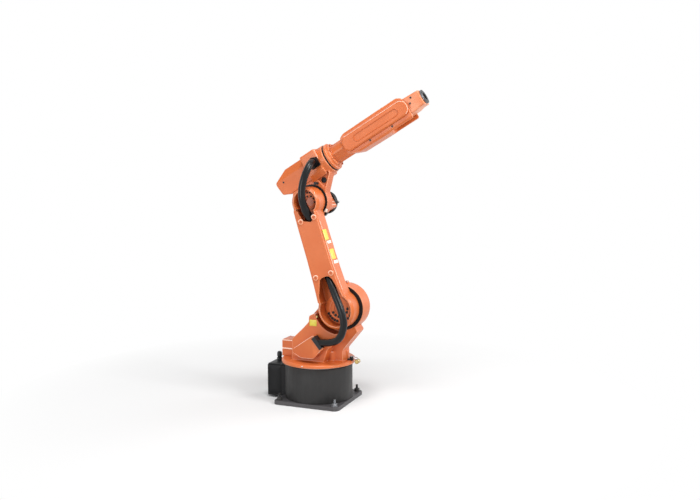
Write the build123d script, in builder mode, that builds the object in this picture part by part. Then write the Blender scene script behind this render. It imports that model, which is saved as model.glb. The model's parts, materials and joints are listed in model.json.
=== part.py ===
"""Industrial robot arm with six turning joints, one STEP file for each named piece."""

from build123d import *
import os
from math import cos, radians, sin, tan

os.makedirs("parts", exist_ok=True)

# Driving sizes in millimetres and degrees. The origin is under the middle of the base plate,
# +X is the working direction, +Y the far side with the motors and +Z is up.
upper_arm_length = 620.0
forearm_length = 840.0
forearm_lift = 162.0
shoulder_x = 170.0
shoulder_z = 560.0
arm_lean = 17.0
forearm_rise = 31.0
joint_gap = 0.3
seat_gap = 0.1
quarter_turn = 90.0
half_share = 0.5
hexagon_sides = 6
through_cut = 300.0

# Base
plate_size = 400.0
plate_thickness = 22.0
plate_corner = 30.0
plate_edge = 3.0
anchor_spacing = 340.0
anchor_hole_radius = 9.0
drum_radius = 195.0
drum_top = 222.0
drum_wall = 18.0
drum_lid = 20.0
drum_bore = 110.0
bearing_top = 229.7
bearing_radius = 190.0
bearing_bore = 120.0

# Cable box behind the drum and its gland
box_rear_x = -299.0
box_front_x = -120.0
box_half_width = 65.0
box_bottom = 12.0
box_top = 197.0
box_wall = 5.0
box_edge = 5.0
gland_x = -270.0
gland_y = 34.0
gland_radius = 11.5
gland_flange_radius = 16.0
gland_flange_height = 9.0
gland_height = 54.0
gland_bore_radius = 6.0
gland_bore_depth = 20.0

# Turret casting
disc_bottom = 230.0
disc_top = 250.0
disc_radius = 214.0
disc_edge = 8.0
disc_bore = 70.0
upright_near = 60.0
upright_thickness = 100.0
wing_thickness = 70.0
wing_gap_radius = 138.0
wing_corner = 9.0
housing_radius = 131.0
housing_near = 62.0
housing_thickness = 106.0
housing_bore = 84.0
foot_rear_x = -112.0
foot_front_x = 183.0
foot_corner_x = 111.0
foot_nose = 14.0
foot_near = 76.0
foot_far = 96.0
foot_top = 304.0
foot_corner = 16.0
lug_x = 178.0
lug_width = 20.0
lug_thickness = 14.0
lug_top = 706.0
lug_foot = 680.0
lug_hole_radius = 5.0
pocket_depth = 14.0
pocket_corner = 12.0

# Base motor box on the rear of the turret
motor_box_rear_x = -211.0
motor_box_front_x = -112.5
motor_box_half_width = 50.0
motor_box_top = 348.0
motor_box_edge = 7.0
motor_box_seam_z = 296.0
motor_box_seam = 3.0

# Hose port on the near side of the turret
port_near = 130.0
port_thickness = 46.0
port_ramp_start = -110.0
port_ramp_end = 40.0
port_corner = 6.0
socket_x = 58.0
socket_z = 364.5
socket_tilt = 40.0
socket_length = 77.0
socket_width = 50.0
socket_thickness = 22.0
hose_radius = 20.5

# Rings, motors and caps on the shoulder
shoulder_seal_radius = 127.0
shoulder_seal_bore = 100.0
seal_near = 65.7
shoulder_motor_radius = 92.0
shoulder_motor_far = 98.0
shoulder_motor_edge = 6.0
shoulder_cap_radius = 84.0
shoulder_cap_far = 162.0
shoulder_cap_edge = 14.0
plug_width = 36.0
plug_height = 24.0

# Air valve on the front of the turret disc
valve_bracket_length = 33.0
valve_bracket_width = 26.0
valve_bracket_thickness = 5.0
valve_clamp_x = 206.0
valve_clamp_length = 20.0
valve_clamp_width = 22.0
valve_clamp_height = 15.0
valve_body_radius = 7.0
valve_body_length = 26.0
valve_knob_x = 240.0
valve_knob_z = 245.0
valve_knob_radius = 14.0
valve_knob_height = 24.0

# Upper arm
arm_far = 66.0
arm_near = 160.0
cover_near = 172.0
arm_floor = 20.0
arm_edge = 5.0
bell_edge = 15.0
bell_taper = 40.0
lower_bell_radius = 108.0
lower_bell_bore = 90.0
upper_bell_radius = 84.0
upper_bell_bore = 66.0
channel_wall = 12.0
shank_corner = 8.0
boss_radius = 14.0
boss_height = 4.0
boss_screw_radius = 5.0
boss_screw_depth = 3.0
lower_hub_radius = 84.0
lower_rim_radius = 62.0
hub_height = 5.0
hub_rim_width = 8.0
hub_rim_height = 4.0
hub_bore = 34.0
upper_hub_radius = 60.0
upper_rim_radius = 44.0
upper_hub_bore = 24.0
clamp_width = 60.0
clamp_length = 26.0
clamp_near = 146.0
clamp_corner = 4.0
clamp_inset = 22.0

# Elbow
elbow_near = 62.0
elbow_thickness = 70.0
elbow_radius = 97.0
elbow_bore = 52.0
elbow_seal_radius = 95.0
elbow_seal_bore = 66.0
head_half_width = 82.0
head_edge = 8.0
head_start = 66.0
head_end = 163.0
collar_radius = 84.0
collar_end = 198.0
collar_bore = 50.0
roll_seal_end = 204.7
roll_seal_radius = 80.0
roll_seal_bore = 60.0
web_pocket_depth = 12.0
web_pocket_corner = 5.0
web_corner = 6.0
elbow_motor_half = 57.0
elbow_motor_drop = 18.0
elbow_motor_far = 100.0
elbow_motor_corner = 9.0
elbow_cap_radius = 65.0
elbow_cap_far = 148.0
elbow_cap_edge = 12.0
elbow_plug_width = 22.0
elbow_plug_length = 13.0
elbow_plug_centre = 42.0
cover_half_width = 58.0
rear_corner = 12.0
hose_plate_length = 56.0
hose_plate_height = 52.0
hose_plate_thickness = 8.0
hose_plate_along = 134.0
hose_plate_perp = 168.0
nozzle_radius = 25.0
nozzle_length = 16.0
round_plug_radius = 15.5
oval_plug_half_length = 15.0
oval_plug_radius = 7.0
plug_head = 3.0
round_plug_along = 122.0
round_plug_perp = 67.0
oval_plug_along = 76.0
oval_plug_perp = 73.0
elbow_plug_angle = -42.0

# Forearm
flange_start = 205.0
flange_step = 222.0
flange_end = 238.0
flange_radius = 80.0
flange_step_radius = 70.0
flange_bolt_circle_radius = 64.0
flange_bolt_radius = 5.0
flange_bolt_count = 8
flange_bolt_start = 22.5
flange_bolt_depth = 8.0
neck_radius = 50.0
neck_end_share = 0.41
neck_rib = 12.0
body_half_width = 58.0
body_edge = 10.0
fork_half_gap = 49.5
fork_depth = 70.0
fork_mouth_depth = 121.0
wrist_pivot_share = 0.8405
side_cover_thickness = 17.0
side_cover_edge = 5.0
side_cover_radius = 43.0
side_cover_start_share = 0.3845
side_cover_cut = 22.0
recess_depth = 1.5
recess_half_height = 20.0
recess_start_share = 0.476
recess_end_share = 0.8214

# Wrist and tool flange
wrist_half_width = 45.5
wrist_radius = 50.0
wrist_boss_radius = 30.0
wrist_edge = 6.0
tool_flange_thickness = 9.7
tool_flange_radius = 40.0
tool_bolt_circle_radius = 31.5
tool_bolt_radius = 3.0
tool_bolt_count = 4
tool_pilot_radius = 20.0
tool_pilot_depth = 6.0

# Outlines as shares: across by a width and along by a length, in that order
upright_shares = [
    (-0.2, 0.446), (-0.193, 0.643), (-0.066, 0.827), (-0.011, 0.916), (0.057, 0.993),
    (0.304, 1), (0.475, 0.768), (0.459, 0.746), (0.311, 0.564), (0.311, 0.446),
]
wing_shares = [
    (-0.2, 0.446), (-0.193, 0.67), (-0.07, 0.787), (-0.009, 0.854), (-0.004, 0.916),
    (0.041, 0.939), (0.107, 0.939), (0.268, 0.75), (0.35, 0.762), (0.286, 0.661),
    (0.2, 0.589), (0.15, 0.446),
]
port_shares = [
    (-0.193, 0.559), (0.08, 0.739), (0.188, 0.612), (0.157, 0.588), (0.08, 0.503),
    (-0.073, 0.488), (-0.193, 0.5),
]
front_pocket_shares = [
    (0.268, 0.589), (0.414, 0.759), (0.268, 0.759), (0.107, 0.589),
]
shank_shares = [
    (-0.815, 0.076), (-0.769, 0.255), (-0.741, 0.516), (-0.75, 0.785), (-0.741, 0.971),
    (0, 1), (0.5, 0.9), (0.518, 0.768), (0.546, 0.492), (0.583, 0.353),
    (0.63, 0.232), (0.778, 0.065),
]
cover_shares = [
    (-0.777, 0.097), (-0.73, 0.255), (-0.704, 0.516), (-0.713, 0.785), (-0.7, 0.955),
    (0, 0.968), (0.463, 0.9), (0.481, 0.768), (0.509, 0.492), (0.546, 0.353),
    (0.593, 0.232), (0.694, 0.085),
]
lower_opening_shares = [
    (-0.648, 0), (-0.63, 0.15), (-0.315, 0.298), (-0.185, 0.31), (0.093, 0.316),
    (0.241, 0.306), (0.352, 0.279), (0.685, 0.09), (0.685, 0),
]
upper_notch_shares = [
    (-0.46, 0.95), (-0.444, 0.91), (-0.306, 0.84), (0.1, 0.815), (0.352, 0.86),
    (0.44, 0.95),
]
boss_shares = [
    (-0.435, 0.84), (0.333, 0.848), (-0.481, 0.326), (0.407, 0.332),
]
web_shares = [
    (-0.691, 0), (-0.654, 0.272), (-0.556, 0.518), (-0.481, 0.617), (0.407, 0.617),
    (0.407, 0.926), (1.006, 0.926), (1.006, 0.716), (1.111, 0.617), (1.111, 0.512),
    (0.704, 0.105), (0.556, -0.043), (0.35, -0.3), (0, -0.4),
]
web_pocket_shares = [
    (0.543, 0.6), (0.611, 0.444), (0.648, 0.272), (0.691, 0.173), (1.056, 0.525),
    (1.056, 0.605),
]
rear_cover_shares = [
    (0.406, 1.5), (-0.395, 1.5), (-0.901, 1.216), (-0.914, 1.111), (-0.858, 0.741),
    (-0.568, 0.621), (0.406, 0.621),
]
head_section_shares = [(-1, -0.54), (-0.72, -1), (1, -1), (1, 1), (-1, 1)]
rear_section_shares = [(-0.7, -0.78), (-0.7, 0.46), (-0.42, 1), (0.42, 1), (0.7, 0.46), (0.7, -0.78)]
body_shares = [
    (0.383, -0.55), (0.383, 0.625), (0.418, 0.82), (0.838, 0.86), (0.874, 0.64),
    (0.886, 0.25), (0.886, -0.96), (0.679, -0.925), (0.461, -0.888), (0.415, -0.7),
]
body_section_shares = [
    (-0.725, -0.8), (-0.6, -0.97), (0.6, -0.97), (0.725, -0.8),
    (0.725, 0.72), (0.6, 0.9), (-0.6, 0.9), (-0.725, 0.72),
]
wrist_shares = [
    (0, -1), (0.258, -1), (0.556, -0.96), (0.758, -0.84), (1, -0.84), (1, 0.84),
    (0.315, 0.92), (0, 1),
]

# Hose routes, chosen by hand from the photograph, from the shoulder axis and from the elbow axis
lower_hose_steps = [
    (-120, -153, -190),
    (-50, -168, -187),
    (37, -189, -160),
    (71, -193, -74),
    (50, -191, 12),
    (10, -177, 83),
    (-27, -153, 150),
    (-78, -118, 220),
    (-103, -117, 295),
]
upper_hose_steps = [
    (26, -84, 221),
    (26, -122, 221),
    (26, -158, 198),
    (12, -184, 146),
    (-4, -192, 74),
    (0, -190, 0),
    (18, -155, -74),
    (44, -114, -134),
    (60, -115, -208),
]
bend_share = 0.45

# Local planes: each plane's normal points to the near side, or along the forearm
near_side = (0, -1, 0)
lean = radians(arm_lean)
rise = radians(forearm_rise)
elbow_x = shoulder_x - upper_arm_length * sin(lean)
elbow_z = shoulder_z + upper_arm_length * cos(lean)
along_forearm = (cos(rise), 0, sin(rise))
roll_x = elbow_x - forearm_lift * sin(rise)
roll_z = elbow_z + forearm_lift * cos(rise)
neck_end = forearm_length * neck_end_share
side_cover_start = forearm_length * side_cover_start_share
recess_start = forearm_length * recess_start_share
recess_end = forearm_length * recess_end_share
wrist_pivot = forearm_length * wrist_pivot_share
wrist_face = forearm_length - tool_flange_thickness - joint_gap
wrist_reach = wrist_face - wrist_pivot
fork_bottom = wrist_pivot - fork_depth
fork_mouth = wrist_pivot - fork_mouth_depth
foot_middle = (foot_far - foot_near) * half_share
wrist_x = roll_x + wrist_pivot * cos(rise)
wrist_z = roll_z + wrist_pivot * sin(rise)
turret_plane = Plane(origin=(0, 0, 0), x_dir=(1, 0, 0), z_dir=near_side)
shoulder_plane = Plane(origin=(shoulder_x, 0, shoulder_z), x_dir=(1, 0, 0), z_dir=near_side)
arm_plane = Plane(origin=(shoulder_x, 0, shoulder_z), x_dir=(cos(lean), 0, sin(lean)), z_dir=near_side)
elbow_plane = Plane(origin=(elbow_x, 0, elbow_z), x_dir=along_forearm, z_dir=near_side)
roll_side_plane = Plane(origin=(roll_x, 0, roll_z), x_dir=along_forearm, z_dir=near_side)
roll_plane = Plane(origin=(roll_x, 0, roll_z), x_dir=(0, 1, 0), z_dir=along_forearm)
wrist_plane = Plane(origin=(wrist_x, 0, wrist_z), x_dir=along_forearm, z_dir=near_side)


def scaled(shares, width, length):
    """Returns the points of an outline given in shares of a width and of a length."""
    return [(x * width, y * length) for x, y in shares]


def route_from(steps, start_x, start_z):
    """Returns the points of a hose route given from an axis at start_x and start_z."""
    return [(start_x + x, y, start_z + z) for x, y, z in steps]


def run_plane(start, end):
    """Returns a plane at the start of a hose run whose normal points along the run."""
    return Plane(origin=start, z_dir=Vector(*end) - Vector(*start))


def bend_radii(route):
    """Returns one radius for each bend of a route, from the shorter run beside it and its turn."""
    points = [Vector(*point) for point in route]
    radii = []
    for before, here, after in zip(points, points[1:], points[2:]):
        run_in = here - before
        run_out = after - here
        half_turn = radians(run_in.get_angle(run_out)) * half_share
        radii.append(bend_share * min(run_in.length, run_out.length) / tan(half_turn))
    return radii


lower_hose_route = route_from(lower_hose_steps, shoulder_x, shoulder_z)
upper_hose_route = route_from(upper_hose_steps, elbow_x, elbow_z)


def hose(route):
    """Returns a solid hose of constant section along straight runs joined by tangent arcs."""
    with BuildPart() as made:
        with BuildLine() as path:
            FilletPolyline(*route, radius=bend_radii(route))
        with BuildSketch(run_plane(route[0], route[1])):
            Circle(hose_radius)
        sweep(path=path.line)
    return made.part


# Base plate with the four anchor holes
with BuildPart() as base_plate:
    with BuildSketch(Plane.XY):
        RectangleRounded(plate_size, plate_size, plate_corner)
    extrude(amount=plate_thickness)
    chamfer(base_plate.faces().sort_by(Axis.Z)[-1].edges(), plate_edge)
    with Locations((0, 0, plate_thickness)):
        with GridLocations(anchor_spacing, anchor_spacing, 2, 2):
            Hole(anchor_hole_radius)
base_plate.part.label = "base_plate"
export_step(base_plate.part, "parts/base_plate.step")

# Hollow drum with its lid
with BuildPart() as base_drum:
    with BuildSketch(Plane.XY.offset(plate_thickness)):
        Circle(drum_radius)
    extrude(amount=drum_top - plate_thickness)
    with BuildSketch(Plane.XY.offset(plate_thickness)):
        Circle(drum_radius - drum_wall)
    extrude(amount=drum_top - drum_lid - plate_thickness, mode=Mode.SUBTRACT)
    with BuildSketch(Plane.XY.offset(drum_top - drum_lid)):
        Circle(drum_bore)
    extrude(amount=drum_lid, mode=Mode.SUBTRACT)
base_drum.part.label = "base_drum"
export_step(base_drum.part, "parts/base_drum.step")

# Bearing ring that the turret turns on
with BuildPart() as turn_bearing:
    with BuildSketch(Plane.XY.offset(drum_top)):
        Circle(bearing_radius)
        Circle(bearing_bore, mode=Mode.SUBTRACT)
    extrude(amount=bearing_top - drum_top)
turn_bearing.part.label = "turn_bearing"
export_step(turn_bearing.part, "parts/turn_bearing.step")

# Cable box, open to the drum that it is bolted to
with BuildPart() as cable_box:
    with BuildSketch(Plane.XY.offset(box_bottom)):
        with Locations(((box_rear_x + box_front_x) * half_share, 0)):
            Rectangle(box_front_x - box_rear_x, box_half_width + box_half_width)
    extrude(amount=box_top - box_bottom)
    chamfer(cable_box.faces().sort_by(Axis.Z)[-1].edges(), box_edge)
    with BuildSketch(Plane.XY.offset(box_bottom)):
        Rectangle(plate_size + seat_gap + seat_gap, plate_size)
    extrude(amount=plate_thickness - box_bottom, mode=Mode.SUBTRACT)
    with BuildSketch(Plane.XY.offset(plate_thickness + box_wall)):
        with Locations(((box_rear_x + box_wall + box_front_x) * half_share, 0)):
            Rectangle(
                box_front_x - box_rear_x - box_wall,
                box_half_width + box_half_width - box_wall - box_wall,
            )
    extrude(amount=box_top - plate_thickness - box_wall - box_wall - box_edge, mode=Mode.SUBTRACT)
    with BuildSketch(Plane.XY):
        Circle(drum_radius + seat_gap)
    extrude(amount=drum_top, mode=Mode.SUBTRACT)
cable_box.part.label = "cable_box"
export_step(cable_box.part, "parts/cable_box.step")

# Gland on the cable box
with BuildPart() as cable_gland:
    with BuildSketch(Plane.XY.offset(box_top)):
        with Locations((gland_x, gland_y)):
            RegularPolygon(gland_flange_radius, hexagon_sides)
    extrude(amount=gland_flange_height)
    with BuildSketch(Plane.XY.offset(box_top)):
        with Locations((gland_x, gland_y)):
            Circle(gland_radius)
    extrude(amount=gland_height)
    with Locations((gland_x, gland_y, box_top + gland_height)):
        Hole(gland_bore_radius, depth=gland_bore_depth)
cable_gland.part.label = "cable_gland"
export_step(cable_gland.part, "parts/cable_gland.step")

# Turret casting: disc, foot, upright, wing with its round gap, and shoulder housing
with BuildPart() as turret_casting:
    with BuildSketch(Plane.XY.offset(disc_bottom)):
        Circle(disc_radius)
    extrude(amount=disc_top - disc_bottom)
    chamfer(turret_casting.faces().sort_by(Axis.Z)[-1].edges(), disc_edge)
    with BuildSketch(Plane.XY.offset(disc_top)) as foot_outline:
        with BuildLine():
            Polyline(
                (foot_rear_x, -foot_near),
                (foot_corner_x, -foot_near),
                (foot_front_x, foot_middle - foot_nose),
                (foot_front_x, foot_middle + foot_nose),
                (foot_corner_x, foot_far),
                (foot_rear_x, foot_far),
                close=True,
            )
        make_face()
        fillet(foot_outline.vertices(), foot_corner)
    extrude(amount=foot_top - disc_top)
    with BuildSketch(turret_plane.offset(upright_near - upright_thickness)) as upright_outline:
        with BuildLine():
            Polyline(*scaled(upright_shares, shoulder_z, shoulder_z), close=True)
        make_face()
        fillet(upright_outline.vertices(), wing_corner)
    extrude(amount=upright_thickness)
    with BuildSketch(turret_plane.offset(upright_near)) as wing_outline:
        with BuildLine():
            Polyline(*scaled(wing_shares, shoulder_z, shoulder_z), close=True)
        make_face()
        fillet(wing_outline.vertices(), wing_corner)
        with Locations((shoulder_x, shoulder_z)):
            Circle(wing_gap_radius, mode=Mode.SUBTRACT)
    extrude(amount=wing_thickness)
    with BuildSketch(shoulder_plane.offset(housing_near - housing_thickness)):
        Circle(housing_radius)
    extrude(amount=housing_thickness)
    with BuildSketch(shoulder_plane.offset(housing_near - housing_thickness)):
        Circle(housing_bore)
    extrude(amount=housing_thickness, mode=Mode.SUBTRACT)
    with BuildSketch(Plane.XY.offset(disc_bottom)):
        Circle(disc_bore)
    extrude(amount=disc_top - disc_bottom, mode=Mode.SUBTRACT)
    with BuildSketch(turret_plane.offset(upright_near - upright_thickness)) as pocket_outline:
        with BuildLine():
            Polyline(*scaled(front_pocket_shares, shoulder_z, shoulder_z), close=True)
        make_face()
        fillet(pocket_outline.vertices(), pocket_corner)
    extrude(amount=pocket_depth, mode=Mode.SUBTRACT)
    with BuildSketch(turret_plane.offset(-lug_thickness * half_share)):
        with Locations((lug_x, (lug_top + lug_foot) * half_share)):
            Rectangle(lug_width, lug_top - lug_foot)
        with Locations((lug_x, lug_top - lug_thickness * half_share)):
            Circle(lug_hole_radius, mode=Mode.SUBTRACT)
    extrude(amount=lug_thickness)
turret_casting.part.label = "turret_casting"
export_step(turret_casting.part, "parts/turret_casting.step")

# Base motor box with its lid seam
with BuildPart() as turn_motor_box:
    with BuildSketch(Plane.XY.offset(disc_top)):
        with Locations(((motor_box_rear_x + motor_box_front_x) * half_share, 0)):
            Rectangle(motor_box_front_x - motor_box_rear_x, motor_box_half_width + motor_box_half_width)
    extrude(amount=motor_box_top - disc_top)
    fillet(turn_motor_box.faces().sort_by(Axis.Z)[-1].edges(), motor_box_edge)
    with BuildSketch(Plane.XY.offset(motor_box_seam_z)):
        with Locations(((motor_box_rear_x + motor_box_front_x) * half_share, 0)):
            Rectangle(motor_box_front_x - motor_box_rear_x, motor_box_half_width + motor_box_half_width)
            Rectangle(
                motor_box_front_x - motor_box_rear_x - motor_box_seam - motor_box_seam,
                motor_box_half_width + motor_box_half_width - motor_box_seam - motor_box_seam,
                mode=Mode.SUBTRACT,
            )
    extrude(amount=motor_box_seam, mode=Mode.SUBTRACT)
turn_motor_box.part.label = "turn_motor_box"
export_step(turn_motor_box.part, "parts/turn_motor_box.step")

# Hose port on the wing: a wedge that rises out of the wing's face, with a slot for the socket
socket_turn = radians(socket_tilt)
socket_middle = (socket_x, -port_near - seat_gap - socket_width * half_share, socket_z)
socket_plane = Plane(origin=socket_middle, x_dir=(0, 1, 0), z_dir=(cos(socket_turn), 0, sin(socket_turn)))
with BuildPart() as hose_port:
    with BuildSketch(turret_plane.offset(port_near)) as port_outline:
        with BuildLine():
            Polyline(*scaled(port_shares, shoulder_z, shoulder_z), close=True)
        make_face()
        fillet(port_outline.vertices(), port_corner)
    extrude(amount=port_thickness)
    with BuildSketch(Plane.XY):
        with BuildLine():
            Polyline(
                (port_ramp_start, -port_near),
                (port_ramp_end, -port_near - port_thickness),
                (foot_front_x, -port_near - port_thickness),
                (foot_front_x, -port_near),
                close=True,
            )
        make_face()
    extrude(amount=shoulder_z, mode=Mode.INTERSECT)
    with BuildSketch(socket_plane):
        Rectangle(socket_width + seat_gap + seat_gap, socket_length + seat_gap + seat_gap)
    extrude(amount=socket_length, mode=Mode.SUBTRACT)
    with BuildSketch(run_plane(lower_hose_route[0], lower_hose_route[1])):
        Circle(hose_radius + seat_gap)
    extrude(amount=through_cut, mode=Mode.SUBTRACT)
hose_port.part.label = "hose_port"
export_step(hose_port.part, "parts/hose_port.step")

# Black socket that holds the lower hose
with BuildPart() as lower_socket:
    with BuildSketch(socket_plane):
        Rectangle(socket_width, socket_length)
    extrude(amount=socket_thickness)
    with BuildSketch(run_plane(lower_hose_route[0], lower_hose_route[1])):
        Circle(hose_radius + seat_gap)
    extrude(amount=through_cut, mode=Mode.SUBTRACT)
lower_socket.part.label = "lower_socket"
export_step(lower_socket.part, "parts/lower_socket.step")

# Black seal ring on the shoulder
with BuildPart() as shoulder_seal:
    with BuildSketch(shoulder_plane.offset(housing_near)):
        Circle(shoulder_seal_radius)
        Circle(shoulder_seal_bore, mode=Mode.SUBTRACT)
    extrude(amount=seal_near - housing_near)
shoulder_seal.part.label = "shoulder_seal"
export_step(shoulder_seal.part, "parts/shoulder_seal.step")

# Shoulder motor on the far side and its black end cap with a plug
with BuildPart() as shoulder_motor:
    with BuildSketch(shoulder_plane.offset(-shoulder_motor_far)):
        Circle(shoulder_motor_radius)
    extrude(amount=shoulder_motor_far - housing_thickness + housing_near)
    chamfer(shoulder_motor.faces().sort_by(Axis.Y)[-1].edges(), shoulder_motor_edge)
shoulder_motor.part.label = "shoulder_motor"
export_step(shoulder_motor.part, "parts/shoulder_motor.step")

with BuildPart() as shoulder_cap:
    with BuildSketch(shoulder_plane.offset(-shoulder_cap_far)):
        Circle(shoulder_cap_radius)
    extrude(amount=shoulder_cap_far - shoulder_motor_far)
    chamfer(shoulder_cap.faces().sort_by(Axis.Y)[-1].edges(), shoulder_cap_edge)
    with BuildSketch(Plane.XY.offset(shoulder_z)):
        with Locations((shoulder_x, (shoulder_cap_far + shoulder_motor_far) * half_share)):
            Rectangle(plug_width, plug_height)
    extrude(amount=shoulder_cap_radius + plug_height * half_share)
shoulder_cap.part.label = "shoulder_cap"
export_step(shoulder_cap.part, "parts/shoulder_cap.step")

# Air valve on its bracket at the front of the disc
with BuildPart() as valve_bracket:
    with BuildSketch(Plane.XY.offset(disc_top)):
        with Locations((foot_front_x + seat_gap + valve_bracket_length * half_share, 0)):
            Rectangle(valve_bracket_length, valve_bracket_width)
    extrude(amount=valve_bracket_thickness)
    with BuildSketch(Plane.XY.offset(disc_top + valve_bracket_thickness)):
        with Locations((valve_clamp_x, 0)):
            Rectangle(valve_clamp_length, valve_clamp_width)
    extrude(amount=valve_clamp_height)
valve_bracket.part.label = "valve_bracket"
export_step(valve_bracket.part, "parts/valve_bracket.step")

valve_level = disc_top + valve_bracket_thickness + valve_body_radius
valve_start = (valve_clamp_x + valve_clamp_length * half_share, 0, valve_level)
valve_plane = Plane(origin=valve_start, x_dir=(0, 1, 0), z_dir=(1, 0, 0))
with BuildPart() as air_valve:
    with BuildSketch(valve_plane):
        Circle(valve_body_radius)
    extrude(amount=valve_body_length)
    with BuildSketch(turret_plane.offset(-valve_knob_height * half_share)):
        with Locations((valve_knob_x, valve_knob_z)):
            Circle(valve_knob_radius)
    extrude(amount=valve_knob_height)
air_valve.part.label = "air_valve"
export_step(air_valve.part, "parts/air_valve.step")

# Upper arm casting: two open bells with broad bevelled rims, joined by a hollow shank, over one floor
with BuildPart() as arm_casting:
    with BuildSketch(arm_plane.offset(arm_far)):
        with BuildLine():
            Polyline(*scaled(shank_shares, lower_bell_radius, upper_arm_length), close=True)
        make_face()
    extrude(amount=arm_near - arm_far)
    chamfer(arm_casting.faces().sort_by(Axis.Y)[0].edges(), arm_edge)
    with BuildSketch(arm_plane.offset(arm_far)):
        Circle(lower_bell_radius)
        with Locations((0, upper_arm_length)):
            Circle(upper_bell_radius)
    extrude(amount=arm_near - arm_far - bell_edge)
    with BuildSketch(arm_plane.offset(arm_near - bell_edge)):
        Circle(lower_bell_radius)
        with Locations((0, upper_arm_length)):
            Circle(upper_bell_radius)
    extrude(amount=bell_edge, taper=bell_taper)
    with BuildSketch(arm_plane.offset(arm_far + arm_floor)):
        with BuildLine():
            Polyline(*scaled(shank_shares, lower_bell_radius, upper_arm_length), close=True)
        make_face()
        offset(amount=-channel_wall)
        Circle(lower_bell_bore)
        with Locations((0, upper_arm_length)):
            Circle(upper_bell_bore)
    extrude(amount=arm_near - arm_far - arm_floor, mode=Mode.SUBTRACT)
arm_casting.part.label = "arm_casting"
export_step(arm_casting.part, "parts/arm_casting.step")

# Front cover of the upper arm with its two openings and four screw bosses
with BuildPart() as arm_cover:
    with BuildSketch(arm_plane.offset(arm_near)) as cover_outline:
        with BuildLine():
            Polyline(*scaled(cover_shares, lower_bell_radius, upper_arm_length), close=True)
        make_face()
        fillet(cover_outline.vertices(), shank_corner)
        with BuildLine():
            Polyline(*scaled(lower_opening_shares, lower_bell_radius, upper_arm_length), close=True)
        make_face(mode=Mode.SUBTRACT)
        with Locations((0, upper_arm_length)):
            Circle(upper_bell_bore, mode=Mode.SUBTRACT)
        with BuildLine():
            Polyline(*scaled(upper_notch_shares, lower_bell_radius, upper_arm_length), close=True)
        make_face(mode=Mode.SUBTRACT)
    extrude(amount=cover_near - arm_near)
    with BuildSketch(arm_plane.offset(cover_near)):
        with Locations(*scaled(boss_shares, lower_bell_radius, upper_arm_length)):
            Circle(boss_radius)
    extrude(amount=boss_height, taper=quarter_turn * half_share * half_share)
    with BuildSketch(arm_plane.offset(cover_near + boss_height - boss_screw_depth)):
        with Locations(*scaled(boss_shares, lower_bell_radius, upper_arm_length)):
            Circle(boss_screw_radius)
    extrude(amount=boss_screw_depth, mode=Mode.SUBTRACT)
arm_cover.part.label = "arm_cover"
export_step(arm_cover.part, "parts/arm_cover.step")

# Hubs inside the two bells, each a ring with a raised rim
with BuildPart() as shoulder_hub:
    with BuildSketch(arm_plane.offset(arm_far + arm_floor)):
        Circle(lower_hub_radius)
        Circle(hub_bore, mode=Mode.SUBTRACT)
    extrude(amount=hub_height)
    with BuildSketch(arm_plane.offset(arm_far + arm_floor + hub_height)):
        Circle(lower_rim_radius)
        Circle(lower_rim_radius - hub_rim_width, mode=Mode.SUBTRACT)
    extrude(amount=hub_rim_height)
shoulder_hub.part.label = "shoulder_hub"
export_step(shoulder_hub.part, "parts/shoulder_hub.step")

with BuildPart() as elbow_hub:
    with BuildSketch(arm_plane.offset(arm_far + arm_floor)):
        with Locations((0, upper_arm_length)):
            Circle(upper_hub_radius)
            Circle(upper_hub_bore, mode=Mode.SUBTRACT)
    extrude(amount=hub_height)
    with BuildSketch(arm_plane.offset(arm_far + arm_floor + hub_height)):
        with Locations((0, upper_arm_length)):
            Circle(upper_rim_radius)
            Circle(upper_rim_radius - hub_rim_width, mode=Mode.SUBTRACT)
    extrude(amount=hub_rim_height)
elbow_hub.part.label = "elbow_hub"
export_step(elbow_hub.part, "parts/elbow_hub.step")


def hose_clamp(route):
    """Returns a clamp block on the arm's floor, bored for the last run of the hose that it holds."""
    last_run = run_plane(route[-1], route[-2])
    held = arm_plane.to_local_coords(last_run.offset(clamp_inset).origin)
    with BuildPart() as made:
        with BuildSketch(arm_plane.offset(arm_far + arm_floor)):
            with Locations((held.X, held.Y)):
                RectangleRounded(clamp_width, clamp_length, clamp_corner)
        extrude(amount=clamp_near - arm_far - arm_floor)
        with BuildSketch(last_run):
            Circle(hose_radius + seat_gap)
        extrude(amount=through_cut, both=True, mode=Mode.SUBTRACT)
    return made.part


lower_clamp = hose_clamp(lower_hose_route)
lower_clamp.label = "lower_clamp"
export_step(lower_clamp, "parts/lower_clamp.step")

upper_clamp = hose_clamp(upper_hose_route)
upper_clamp.label = "upper_clamp"
export_step(upper_clamp, "parts/upper_clamp.step")

# The two hoses, whole along their routes
lower_hose = hose(lower_hose_route)
lower_hose.label = "lower_hose"
export_step(lower_hose, "parts/lower_hose.step")
upper_hose = hose(upper_hose_route)
upper_hose.label = "upper_hose"
export_step(upper_hose, "parts/upper_hose.step")
print("lower hose bend radii", [round(value) for value in bend_radii(lower_hose_route)])
print("upper hose bend radii", [round(value) for value in bend_radii(upper_hose_route)])

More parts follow.
